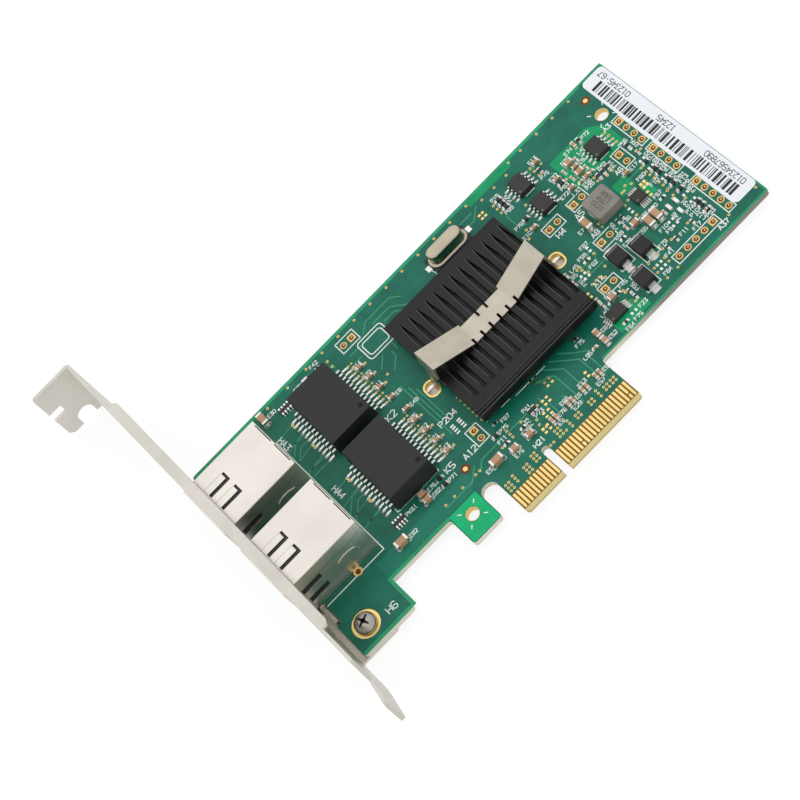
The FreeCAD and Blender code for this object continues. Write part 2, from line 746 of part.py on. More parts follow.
def make_jack_shield(jack):
    """The tin shield of a jack: folded walls, springs, side slots and legs."""
    body = new_body(jack + "_shield", y=jack + "_y")
    half, inside = "jack_wide / 2", "(jack_wide / 2 - shield_thick)"
    walls = [("-" + half, "0"), ("-" + half, "jack_high"), (half, "jack_high"),
             (half, "0"), (inside, "0"), (inside, "jack_high - shield_thick"),
             ("-" + inside, "jack_high - shield_thick"), ("-" + inside, "0")]
    face = box("-" + half, "0", half, "jack_high")
    grow(body, "YZ_Plane", [walls], "jack_front", "jack_back - jack_front")
    grow(body, "YZ_Plane", [face], "jack_back - shield_thick", "shield_thick")
    grow(body, "YZ_Plane", [face, plug_opening()] + light_windows("light_gap"),
         "jack_front", "shield_thick")
    slits = []
    for place_across in ("slit_one", "slit_two"):
        start, end = "jack_front + spring_start", "jack_front + spring_end"
        low, high = place_across, place_across + " + slit_high"
        slits.append([(start, low), (end, low), (end, low + " + slit_reach"),
                      (end + " - slit_wide", low + " + slit_reach"),
                      (end + " - slit_wide", high), (start, high)])
    cut(body, "XY_Plane", slits, "jack_high", "shield_thick", onward=False)
    slots = [box("jack_front + side_slot_start", low, "jack_front + side_slot_end",
                 low + " + side_slot_high") for low in ("side_slot_low", "side_slot_upper")]
    cut(body, "XZ_Plane", slots, "-" + half, "jack_wide")
    emboss = oval_outline("jack_front + emboss_start", "emboss_low",
                          "jack_front + emboss_end", "emboss_high")
    grow(body, "XZ_Plane", [emboss], half, "emboss_out")
    grow(body, "XZ_Plane", [emboss], "-(%s + emboss_out)" % half, "emboss_out")
    legs = [middle_box("leg_x", "%s(jack_wide - shield_thick) / 2" % side, "leg_wide",
                       "shield_thick") for side in ("-", "")]
    grow(body, "XY_Plane", legs, "-" + SOLDER_TIP, SOLDER_TIP)


def make_jack_housing(jack):
    """The moulded housing of a jack: plug room, light seats and two pegs."""
    body = new_body(jack + "_housing", y=jack + "_y")
    half = "(jack_wide / 2 - shield_thick - housing_gap)"
    front = "jack_front + shield_thick"
    block = box("-" + half, "0", half, "jack_high - shield_thick - housing_gap")
    grow(body, "YZ_Plane", [block], front,
         "jack_back - jack_front - 2 * shield_thick - housing_gap")
    cut(body, "YZ_Plane", [plug_opening()], front, "plug_deep")
    cut(body, "YZ_Plane", light_windows("light_gap"), front, "light_deep")
    for side in ("-", ""):
        many_sided(body, "Additive", "peg_x", side + "peg_y", BACK, "peg_wide", PEG_SIDES,
                   "board_thick")


def make_jack_contacts(jack):
    """The eight wires of a jack that meet the plug, and their pins through the board."""
    body = new_body(jack + "_contacts", y=jack + "_y")
    start, end = "jack_front + wire_start", "jack_front + wire_end"
    wire = [(start, "plug_roof"), (end, "plug_roof - wire_drop"),
            (end, "plug_roof - wire_drop + wire_thick"), (start + " + wire_root", "plug_roof")]
    wires = grow(body, "XZ_Plane", [wire], "pin_step * 3.5 - wire_wide / 2", "wire_wide")
    repeat(body, [wires], "Y_Axis", "pin_step", "8")
    pair = [middle_box("pin_front_x", "pin_step * -3.5", "pin_wide", "pin_wide"),
            middle_box("pin_front_x + pin_rows", "pin_step * -2.5", "pin_wide", "pin_wide")]
    pins = grow(body, "XY_Plane", pair, "-" + SOLDER_TIP, SOLDER_TIP)
    repeat(body, [pins], "Y_Axis", "pin_step * 2", "4")


def make_jack_lights(jack):
    """The two clear light windows of a jack."""
    body = new_body(jack + "_lights", y=jack + "_y")
    grow(body, "YZ_Plane", light_windows("0"), "jack_front", "light_deep + shield_thick")


def make_package(name, kind, turn):
    """A moulded package with bent leads on two sides: its body and its leads."""
    across, lift, high, crown, shoulder, out, reach, thick, wide, pitch, count, along = [
        "%s_%s" % (kind, part) for part in
        ("across", "lift", "high", "crown", "shoulder", "out", "reach", "thick", "wide",
         "pitch", "count", "along")]
    spot = (name + "_across", name + "_up", "0", turn)
    body = new_body(name + "_body", *spot)
    seam = "(%s - %s / 2)" % (shoulder, thick)
    right = [("%s / 2 - %s" % (across, crown), high), ("%s / 2" % across, seam),
             ("%s / 2 - %s" % (across, crown), lift)]
    block = right + [("-(%s)" % x, z) for x, z in reversed(right)]
    grow(body, "XZ_Plane", [block], "-%s / 2" % along, along)
    leads = new_body(name + "_leads", *spot)
    edge, knee = "%s / 2" % across, "%s / 2 + %s" % (across, out)
    foot = "%s / 2 + %s" % (across, reach)
    lead = [(edge, seam), (edge, shoulder), (knee, shoulder),
            ("%s + %s" % (knee, thick), thick), (foot, thick), (foot, "0"), (knee, "0"),
            ("%s - %s" % (knee, thick), seam)]
    mirrored = [("-(%s)" % x, z) for x, z in reversed(lead)]
    row = grow(leads, "XZ_Plane", [lead, mirrored],
               "(%s - 1) * %s / 2 - %s / 2" % (count, pitch, wide), wide)
    if PACKAGES[kind]["count"] > 1:
        repeat(leads, [row], "Y_Axis", pitch, count)


def make_heat_sink():
    """The controller, its thermal pad and the heat sink with its tapered grooves."""
    chip = new_body("controller_chip", "sink_x", "sink_y")
    square = [middle_box("0", "0", "chip_side", "chip_side")]
    grow(chip, "XY_Plane", square, "0", "chip_high")
    pad = new_body("thermal_pad", "sink_x", "sink_y")
    grow(pad, "XY_Plane", square, "chip_high", "pad_thick")
    body = new_body("heatsink")
    outline = [middle_box("sink_x", "sink_y", "sink_wide", "sink_long")]
    grow(body, "XY_Plane", outline, SINK_BASE, "sink_thick")
    middle = SINK_LEFT + " + groove_first"
    left, right = middle + " - groove_wide / 2", middle + " + groove_wide / 2"
    groove = [(left, SINK_LOW + " + groove_start"), (right, SINK_LOW + " + groove_start"),
              (right, SINK_LOW + " + groove_full"), (middle, SINK_LOW + " + groove_end"),
              (left, SINK_LOW + " + groove_full")]
    first = cut(body, "XY_Plane", [groove], SINK_TOP, "groove_deep", onward=False)
    repeat(body, [first], "X_Axis", "groove_pitch", "groove_count")
    ribs = [box(SINK_LEFT, "%s + %s" % (SINK_LOW, rib), SINK_LEFT + " + sink_wide",
                "%s + %s + rib_wide" % (SINK_LOW, rib))
            for rib in ("rib_one", "rib_two", "rib_three")]
    cut(body, "XY_Plane", ribs, SINK_TOP, "rib_deep", onward=False)


def make_clip():
    """The spring clip over the heat sink: a bowed strip whose legs hook under the board."""
    body = new_body("heatsink_clip")
    top = "(%s + clip_thick)" % SINK_TOP
    peak = "(%s + clip_rise)" % SINK_TOP
    skirt = "(%s - clip_flange)" % peak
    under, over = [], []
    for side in ("-", "+"):
        arm_under = [("sink_x %s clip_flat" % side, SINK_TOP),
                     (leg_place(side, peak, False), peak + " - clip_thick"),
                     (leg_place(side, skirt, False), skirt)]
        arm_over = [(leg_place(side, skirt, True), skirt),
                    (leg_place(side, peak, True), peak),
                    ("sink_x %s clip_flat" % side, top)]
        if side == "-":
            under, over = list(reversed(arm_under)), arm_over
        else:
            strip = under + arm_under + arm_over + list(reversed(over))
    grow(body, "XZ_Plane", [strip], "-(sink_y + clip_wide / 2)", "clip_wide")
    legs = []
    for side in ("-", "+"):
        slot_edge = clip_slot(side)[2 if side == "+" else 0]
        hook_end = "%s %s clip_hook" % (slot_edge, side)
        sole = BACK + " - clip_thick"
        legs.append([(leg_place(side, skirt, True), skirt),
                     (leg_place(side, BACK, True), BACK), (hook_end, BACK),
                     (hook_end, sole), (leg_place(side, sole, False), sole),
                     (leg_place(side, skirt, False), skirt)])
    grow(body, "XZ_Plane", legs, "-(sink_y + clip_leg / 2)", "clip_leg")
    notch = box("sink_x + clip_notch_first", "sink_y - clip_wide / 2",
                "sink_x + clip_notch_first + clip_notch",
                "sink_y - clip_wide / 2 + clip_notch_deep")
    first = cut(body, "XY_Plane", [notch], peak, "clip_rise", onward=False)
    repeat(body, [first], "X_Axis", "groove_pitch", "clip_notches")
    waist_low = "sink_y + clip_wide / 2 - clip_waist_deep"
    waist = [box("sink_x - clip_waist / 2", waist_low, "sink_x + clip_waist / 2",
                 "sink_y + clip_wide / 2 + 1")]
    waist += [box("sink_x %s groove_pitch / 2 - clip_notch / 2" % side,
                  waist_low + " - clip_notch_deep",
                  "sink_x %s groove_pitch / 2 + clip_notch / 2" % side, waist_low)
              for side in ("-", "+")]
    cut(body, "XY_Plane", waist, peak, "clip_rise", onward=False)


def make_crystal():
    """The clock crystal: a drawn can with its flange, on a base with two leads."""
    spot = ("crystal_x", "crystal_y")
    base = new_body("crystal_base", *spot)
    grow(base, "XY_Plane",
         [middle_box("0", "0", "crystal_base_long", "crystal_base_wide")], "0",
         "crystal_base_high")
    can = new_body("crystal_can", *spot)
    flange = ("(crystal_base_long - 2 * crystal_edge)",
              "(crystal_base_wide - 2 * crystal_edge)")
    drawn = tuple("(%s - 2 * can_edge)" % side for side in flange)
    grow(can, "XY_Plane", [middle_box("0", "0", *flange)],
         "crystal_base_high", "crystal_flange_high")
    grow(can, "XY_Plane", [middle_box("0", "0", *drawn)],
         "crystal_base_high + crystal_flange_high", "can_high")
    for long, wide in (flange, drawn):
        corners = [("%s%s / 2" % (x, long), "%s%s / 2" % (y, wide))
                   for x in ("-", "") for y in ("-", "")]
        round_edges(can, "z", corners, "%s / 2 - 0.02" % wide)
    leads = new_body("crystal_leads", *spot)
    strips = [middle_box("%s(crystal_base_long + crystal_lead_long) / 2" % side, "0",
                         "crystal_lead_long", "crystal_lead_wide") for side in ("-", "")]
    grow(leads, "XY_Plane", strips, "0", "crystal_lead_thick")


def make_inductor():
    """The power inductor: a pressed block with two folded end plates."""
    spot = ("coil_x", "coil_y")
    core = new_body("inductor_core", *spot)
    grow(core, "XY_Plane", [middle_box("0", "0", "coil_side", "coil_side")], "coil_lift",
         "coil_high")
    corners = [("%scoil_side / 2" % x, "%scoil_side / 2" % y)
               for x in ("-", "") for y in ("-", "")]
    round_edges(core, "z", corners, "coil_corner")
    plates = new_body("inductor_terminals", *spot)
    inner, outer = "coil_side / 2", "coil_side / 2 + coil_plate"
    plate = [(outer, "0"), (outer, "coil_plate_high"), (inner, "coil_plate_high"),
             (inner, "coil_lift"), (inner + " - coil_plate_under", "coil_lift"),
             (inner + " - coil_plate_under", "0")]
    mirrored = [("-(%s)" % x, z) for x, z in reversed(plate)]
    grow(plates, "XZ_Plane", [plate, mirrored], "-coil_plate_wide / 2", "coil_plate_wide")


def make_label():
    """The blank paper label at the far end of the board."""
    body = new_body("label")
    grow(body, "XY_Plane", [box("label_left", "label_low", "label_right", "label_high")],
         "0", "label_thick")
    round_edges(body, "z", [("label_" + x, "label_" + y) for x in ("left", "right")
                            for y in ("low", "high")], "label_corner")


def make_chips(label, sizes):
    """A group of separate chip parts on the board, made of plain blocks."""
    blocks = []
    for size in sizes:
        for name, along in placed[size]:
            block = doc.addObject("Part::Box", name)
            long, wide = ("_long", "_wide") if along else ("_wide", "_long")
            block.setExpression("Length", cells(size + long))
            block.setExpression("Width", cells(size + wide))
            block.setExpression("Height", cells(size + "_high"))
            block.setExpression("Placement.Base.x",
                                cells("%s_across - %s%s / 2" % (name, size, long)))
            block.setExpression("Placement.Base.y",
                                cells("%s_up - %s%s / 2" % (name, size, wide)))
            blocks.append(block)
    group = doc.addObject("Part::Compound", label)
    group.Label = label
    group.Links = blocks
    place(group)
    nodes.append(group)


def make_resistor_arrays():
    """The resistor arrays, each with a row of ends along both long sides."""
    for name, along in placed["array"]:
        body = new_body("resistor_" + name, name + "_across", name + "_up")
        block = middle_box("0", "0", "array_long", "array_wide")
        grow(body, "XY_Plane", [block], "0", "array_high")
        ends = grow(body, "XY_Plane",
                    [middle_box("array_pitch * (1 - array_ends) / 2", "0", "array_end",
                                "array_wide + 2 * array_out")], "0", "array_high")
        repeat(body, [ends], "X_Axis", "array_pitch", "array_ends")


def write_parts():
    """Check every object and write each piece to a file of its own."""
    doc.recompute()
    for item in doc.Objects:
        if "Invalid" in item.State or "Error" in item.State:
            raise ValueError("%s could not be made" % item.Label)
    for item in nodes:
        if item.Shape.isNull() or not item.Shape.isValid():
            raise ValueError("%s has no sound shape" % item.Label)
    os.makedirs("parts", exist_ok=True)
    for item in nodes:
        item.Shape.exportStep(os.path.join("parts", item.Label + ".step"))


make_board()
make_plated_rings()
make_edge_contacts("front", "0", ("front_short_one", "front_short_two"))
make_edge_contacts("back", BACK + " - plating", ("back_short",))
make_bracket()
make_screw()
for jack in JACKS:
    make_jack_shield(jack)
    make_jack_housing(jack)
    make_jack_contacts(jack)
    make_jack_lights(jack)
for name, kind, across, up, turn in CHIPS:
    make_package(name, kind, turn)
make_heat_sink()
make_clip()
make_crystal()
make_inductor()
make_label()
make_chips("capacitors_small", ["small_cap"])
make_chips("capacitors_large", ["middle_cap", "large_cap"])
make_chips("resistors", ["resistor"])
make_resistor_arrays()
write_parts()
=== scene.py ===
import bpy
import math
import random
from bpy.props import FloatProperty, FloatVectorProperty, IntProperty, PointerProperty
from mathutils import Matrix, Vector


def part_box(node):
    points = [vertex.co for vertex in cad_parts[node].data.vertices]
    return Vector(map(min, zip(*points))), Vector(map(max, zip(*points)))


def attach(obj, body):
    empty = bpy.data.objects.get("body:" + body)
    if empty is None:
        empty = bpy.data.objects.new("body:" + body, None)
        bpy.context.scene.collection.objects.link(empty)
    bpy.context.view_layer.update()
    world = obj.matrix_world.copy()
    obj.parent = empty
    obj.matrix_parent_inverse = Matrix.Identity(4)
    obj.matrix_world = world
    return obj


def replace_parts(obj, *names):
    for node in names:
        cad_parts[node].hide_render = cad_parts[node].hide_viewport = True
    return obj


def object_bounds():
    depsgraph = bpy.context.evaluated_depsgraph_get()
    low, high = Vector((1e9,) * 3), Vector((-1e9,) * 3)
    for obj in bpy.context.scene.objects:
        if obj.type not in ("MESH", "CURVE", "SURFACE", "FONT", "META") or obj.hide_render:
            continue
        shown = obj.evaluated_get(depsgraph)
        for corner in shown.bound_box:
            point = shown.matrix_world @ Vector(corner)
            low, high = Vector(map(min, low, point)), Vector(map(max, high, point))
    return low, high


bl_info = {
    "name": "Network interface card looks",
    "version": (1, 0, 0),
    "blender": (4, 5, 0),
    "location": "3D View > Sidebar > Card",
    "description": "Builds the looks of a network interface card round its packed frame",
    "category": "Object",
}

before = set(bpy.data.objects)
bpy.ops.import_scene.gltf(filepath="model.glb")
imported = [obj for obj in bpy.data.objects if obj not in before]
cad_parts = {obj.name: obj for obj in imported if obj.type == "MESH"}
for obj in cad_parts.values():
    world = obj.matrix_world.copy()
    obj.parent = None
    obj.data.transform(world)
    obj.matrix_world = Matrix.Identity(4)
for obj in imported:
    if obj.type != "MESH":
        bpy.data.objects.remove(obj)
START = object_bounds()

# Places are written in millimetres in the card's drawing frame: zero across is the first edge
# contact, zero up is the bottom of the contact tongue, zero in height is the component side.
BOARD_RIGHT = 84.85
BOARD_THICK = 1.57
BOARD_LOW, BOARD_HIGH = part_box("circuit_board")
ZERO = Vector((BOARD_HIGH.x - BOARD_RIGHT / 1000, BOARD_LOW.y, BOARD_HIGH.z))
# The width of a jack over its walls, and its slits across from its middle.
JACK_WIDE = 15.8
SLITS = (3.9, -0.7)
# The sides of a round shape, and a grain that is not stretched.
SIDES = 14
EVEN = (1, 1, 1)
# The heat sink's grooves: how many, how far apart, and the first from its side.
GROOVES = 13
GROOVE_STEP = 2.575
GROOVE_FIRST = 3.0
# Holes by their middles, and the clip slots by their near edges.
TOOL_HOLES = ((-8.9, 9.4), (75.8, 58.3))
CLIP_SLOTS = (3.48, 42.62)
GROUND_HOLE = (-34.6, 19.9)
SCREW_HOLE = (-41.2, 9.3)
# The rows of leads of both transformers: the number in its package, and the height.
LEADS = [(row, top - 1.3 * row) for top in (59.6, 39.0) for row in range(12)]
# The step from letter to letter for a height of one, and the height of small letters.
LETTER_STEP = 0.86
SMALL_LETTER = 0.92


def at(x, y, z=0.0):
    """A place of the card's drawing frame, in metres in the frame of the part."""
    return ZERO + Vector((x, y, z)) / 1000


def linear(red, green, blue):
    """A screen colour, 0 to 255, as the numbers a material works with."""
    return tuple((c / 255 / 12.92) if c <= 10 else ((c / 255 + 0.055) / 1.055) ** 2.4
                 for c in (red, green, blue))


def colour(name, description, red, green, blue):
    return FloatVectorProperty(name=name, description=description, subtype="COLOR", size=3,
                               min=0, max=1, default=linear(red, green, blue))


def length(name, description, millimetres):
    return FloatProperty(name=name, description=description, unit="LENGTH", min=0,
                         precision=5, default=millimetres / 1000)


class CardLooks(bpy.types.PropertyGroup):
    """Colours and small sizes of the card's looks."""
    mask: colour("Solder mask", "Green mask over bare glass fibre", 20, 98, 80)
    mask_bright: colour("Mask over copper", "Green mask where copper lies under it",
                        28, 116, 95)
    mask_track: colour("Mask over tracks", "Green mask along single tracks", 66, 158, 122)
    print_white: colour("Print", "White print on the board", 238, 242, 238)
    mask_light: colour("Mask over wide copper", "Light green of the copper areas",
                       14, 184, 119)
    bare: colour("Bare tongue", "Unmasked glass fibre of the contact tongue",
                 213, 197, 138)
    fibre: colour("Board edge", "Cut edge of the glass fibre board", 232, 230, 210)
    mask_rim: colour("Mask at the rim", "Green mask along the board's rim", 38, 158, 108)
    gold: colour("Gold", "Gold plating of contacts and rings", 255, 222, 142)
    tin: colour("Tin", "Tinned leads and solder", 240, 238, 233)
    steel: colour("Bracket steel", "Plated steel of the bracket", 216, 211, 202)
    shield: colour("Shield", "Tinned shields of the jacks", 234, 227, 219)
    can: colour("Crystal can", "Drawn can of the crystal", 192, 183, 162)
    clip: colour("Clip steel", "Plated spring steel of the clip", 204, 197, 181)
    sink: colour("Heat sink", "Black anodised aluminium", 10, 10, 11)
    moulding: colour("Small chips", "Moulded chip bodies", 40, 40, 38)
    transformer: colour("Transformers", "Moulded transformer bodies", 30, 30, 32)
    ceramic: colour("Capacitors", "Body of a chip capacitor", 176, 138, 106)
    resistor: colour("Resistors", "Coat of a chip resistor", 38, 36, 38)
    ferrite: colour("Inductor", "Pressed metal powder", 124, 120, 112)
    paper: colour("Label", "Paper of the label", 242, 246, 252)
    # Copper inside a plated hole, painted darker with the hole's shade.
    hole_brown: colour("Hole", "Inside of a plated hole", 104, 52, 24)
    print_wide: length("Print width", "Width of a printed line", 0.235)
    track_wide: length("Track width", "Width of a track", 0.28)
    via_wide: length("Via width", "Outer width of a small plated hole", 0.66)
    copper_high: length("Copper rise", "Rise of the mask over copper", 0.012)
    print_high: length("Print rise", "Rise of the print over the mask", 0.03)
    cap_share: FloatProperty(name="End cap share", description="Silver share of a chip part "
                             "at each end", default=0.16, min=0.05, max=0.45)
    seed: IntProperty(name="Seed", description="Start of the random choices", default=7)


def looks():
    return bpy.context.scene.card_looks


class Value:
    """A socket of a material that can be worked with like a number."""

    def __init__(self, paint, socket):
        self.paint = paint
        self.socket = socket

    def __add__(self, other):
        return self.paint.maths("ADD", self, other)

    def __sub__(self, other):
        return self.paint.maths("SUBTRACT", self, other)

    def __rsub__(self, other):
        return self.paint.maths("SUBTRACT", other, self)

    def __mul__(self, other):
        return self.paint.maths("MULTIPLY", self, other)

    def __gt__(self, other):
        return self.paint.maths("GREATER_THAN", self, other)

    def __lt__(self, other):
        return self.paint.maths("LESS_THAN", self, other)

    __radd__ = __add__
    __rmul__ = __mul__


class Paint:
    """One material: nodes are added by kind, their sockets set or linked by name."""

    def __init__(self, name):
        self.material = bpy.data.materials.new(name)
        self.material.use_nodes = True
        self.tree = self.material.node_tree
        self.tree.nodes.clear()

    def add(self, kind, settings, sockets, output=0):
        """A node of one kind, set first and then given its sockets; gives one output."""
        node = self.tree.nodes.new("ShaderNode" + kind)
        for key, value in settings.items():
            setattr(node, key, value)
        for key, value in sockets.items():
            match = [s for s in node.inputs if key in (s.identifier, s.name)]
            if not match:
                raise ValueError("%s has no socket %s" % (kind, key))
            if isinstance(value, Value):
                self.tree.links.new(value.socket, match[0])
            else:
                match[0].default_value = value
        return Value(self, node.outputs[output])

    def maths(self, operation, *values):
        return self.add("Math", {"operation": operation},
                        dict(zip(("Value", "Value_001"), values)))

    def place(self, stretch=EVEN):
        """The place on the piece in millimetres, stretched along the three directions."""
        spot = self.add("TexCoord", {}, {}, "Object")
        return self.add("VectorMath", {"operation": "MULTIPLY"},
                        {"Vector": spot, "Vector_001": [1000 * s for s in stretch]})

    def noise(self, size, detail=3.0, stretch=EVEN):
        """Cloudy noise about 0.5, with lumps of the given size in millimetres."""
        return self.add("TexNoise", {}, {"Vector": self.place(stretch), "Scale": 1 / size,
                                         "Detail": detail, "Roughness": 0.55})

    def spread(self, value, low, high, to_low=0.0, to_high=1.0):
        """Bring a value from one range to another and hold it there."""
        return self.add("MapRange", {}, {"Value": value, "From Min": low, "From Max": high,
                                         "To Min": to_low, "To Max": to_high})

    def blend(self, share, first, second):
        """A colour between two others."""
        first, second = [(*c, 1.0) if not isinstance(c, Value) else c
                         for c in (first, second)]
        return self.add("Mix", {"data_type": "RGBA"},
                        {"Factor_Float": share, "A_Color": first, "B_Color": second}, 2)

    def facing(self, axis):
        """How much the face looks along an axis, without its sign."""
        spot = self.add("NewGeometry", {}, {}, "True Normal")
        part = self.add("SeparateXYZ", {}, {"Vector": spot}, "xyz".index(axis))
        return self.maths("ABSOLUTE", part)

    def bevel(self, radius):
        """A normal that softens the edges by a radius in millimetres."""
        return self.add("Bevel", {"samples": 4}, {"Radius": radius / 1000})

    def bump(self, height, depth, normal=None):
        """A normal raised by a height, as deep as the given millimetres."""
        sockets = {"Height": height, "Distance": depth / 1000, "Strength": 1.0}
        if normal:
            sockets["Normal"] = normal
        return self.add("Bump", {}, sockets)

    def finish(self, sockets):
        """Close the material with one surface of the given sockets."""
        sockets = {key: (*value, 1.0) if isinstance(value, tuple) and len(value) == 3
                   else value for key, value in sockets.items()}
        surface = self.add("BsdfPrincipled", {}, sockets)
        end = self.tree.nodes.new("ShaderNodeOutputMaterial")
        self.tree.links.new(surface.socket, end.inputs["Surface"])
        return self.material


def shade(tone):
    """A colour from a grey, a colour, a property's name, or such a name and a share of it."""
    if isinstance(tone, float):
        return (tone, tone, tone)
    if isinstance(tone, str):
        return tuple(getattr(looks(), tone))
    if isinstance(tone[0], str):
        return tuple(c * tone[1] for c in getattr(looks(), tone[0]))
    return tone


def metal(name, tint, rough, grain, stretch=EVEN, edge=0.08, depth=0.002, stain=0.1,
          walls=0.0):
    """A plated metal: fine drawn grain, faint stains, softened edges and duller walls."""
    tint = shade(tint)
    paint = Paint(name)
    fine = paint.noise(grain, 5.0, stretch)
    broad = paint.noise(grain * 28, 3.0)
    darker = tuple(c * (1 - stain) * 0.9 for c in tint)
    return paint.finish({
        "Base Color": paint.blend(paint.spread(broad, 0.3, 0.7), darker, tint),
        "Metallic": 1.0,
        "Roughness": paint.spread(fine + broad, 0.7, 1.3, rough * 0.82, rough * 1.22)
        + paint.facing("y") * walls,
        "Normal": paint.bump(fine, depth, paint.bevel(edge)),
    })


def plastic(name, tint, rough, grain, depth=0.01, edge=0.08, lift=0.25, gloss=0.45):
    """A moulded or coated surface: grain, a slight change of shade and softened edges."""
    tint = shade(tint)
    paint = Paint(name)
    fine = paint.noise(grain, 4.0)
    broad = paint.noise(grain * 30, 3.0)
    lighter = tuple(c * (1 + lift) for c in tint)
    return paint.finish({
        "Base Color": paint.blend(paint.spread(fine * 0.5 + broad * 0.5, 0.35, 0.65),
                                  tint, lighter),
        "Roughness": paint.spread(fine, 0.3, 0.7, rough * 0.88, min(rough * 1.12, 1)),
        "Specular IOR Level": gloss,
        "Normal": paint.bump(fine, depth, paint.bevel(edge)),
    })


def mask_material(name, over, under, tongue=False):
    """Solder mask: weave of the glass cloth, small mottling, and a bare cut edge; painted shade
    darkens the edge's far end and the bare tongue between the fingers.
    """
    over, under = shade(over), shade(under)
    paint = Paint(name)
    weave, cross = (paint.add("TexWave", {"wave_type": "BANDS", "bands_direction": axis},
                              {"Vector": paint.place(), "Scale": 0.5, "Distortion": 0.6}, 1)
                    for axis in "XY")
    cloth = weave * cross
    cloud = paint.noise(5.5, 4.0)
    speck = paint.noise(0.5, 2.0)
    mottle = paint.spread(cloud * 0.7 + speck * 0.26 + cloth * 0.04, 0.36, 0.62)
    green = paint.blend(mottle, under, over)
    layer = paint.noise(0.6, 3.0, (0.15, 0.15, 3.2))
    along = paint.add("SeparateXYZ", {}, {"Vector": paint.place()}, 0) - ZERO.x * 1000
    # Painted shade: the cut edge is painted darker from 38 to 52 mm across, towards the far end
    # where it lies in shade.
    fibre = paint.blend(paint.spread(along, 38, 52), shade("fibre"), shade(("fibre", 0.3)))
    fibre = paint.blend(paint.spread(layer, 0.35, 0.65, 0.3, 0.0), fibre,
                        shade(("fibre", 0.4)))
    flat = paint.facing("z") > 0.7
    if tongue:
        up = paint.add("SeparateXYZ", {}, {"Vector": paint.place()}, 1) - ZERO.y * 1000
        bare = (paint.spread(up + (speck - 0.5) * 0.2, 5.65, 5.75, 1.0, 0.0)
                * (along > -1.0))
        # Partly painted shade: above 1 mm the bare fibre between the fingers is painted dark
        # brown, its own colour darkened as the shade between the raised fingers; the bevel
        # below keeps the bare tan.
        green = paint.blend(bare, green, paint.blend(
            paint.spread(up, 0.9, 1.0), shade("bare"), (0.2, 0.1, 0.022)))
        fibre = paint.blend(bare * (up < 3), fibre, shade(("bare", 0.8)))
    return paint.finish({
        "Base Color": paint.blend(flat, fibre, green),
        "Roughness": paint.spread(flat * 1.0 + speck * 0.1, 0.0, 1.1, 0.75, 0.3),
        "Specular IOR Level": 0.22,
        "Normal": paint.bump(cloth * 0.3 + speck * 0.7, 0.006, paint.bevel(0.08)),
    })


def paper_material(name):
    """Label paper: white with a faint fibre and a soft satin."""
    paint = Paint(name)
    fibre = paint.noise(0.35, 4.0, (1, 0.3, 1))
    return paint.finish({
        "Base Color": paint.blend(paint.spread(fibre, 0.3, 0.7), shade(("paper", 0.93)),
                                  shade("paper")),
        "Roughness": paint.spread(fibre, 0.2, 0.8, 0.42, 0.6),
        "Normal": paint.bump(fibre, 0.004),
    })


def window_material(name):
    """Clear light windows: milky acrylic with a soft gloss."""
    paint = Paint(name)
    milk = paint.noise(0.7, 3.0)
    return paint.finish({
        "Base Color": paint.blend(milk, (0.42, 0.44, 0.4), (0.66, 0.68, 0.6)),
        "Roughness": paint.spread(milk, 0.3, 0.7, 0.14, 0.24),
        "Transmission Weight": 0.35,
        "Normal": paint.bump(milk, 0.01, paint.bevel(0.08)),
    })


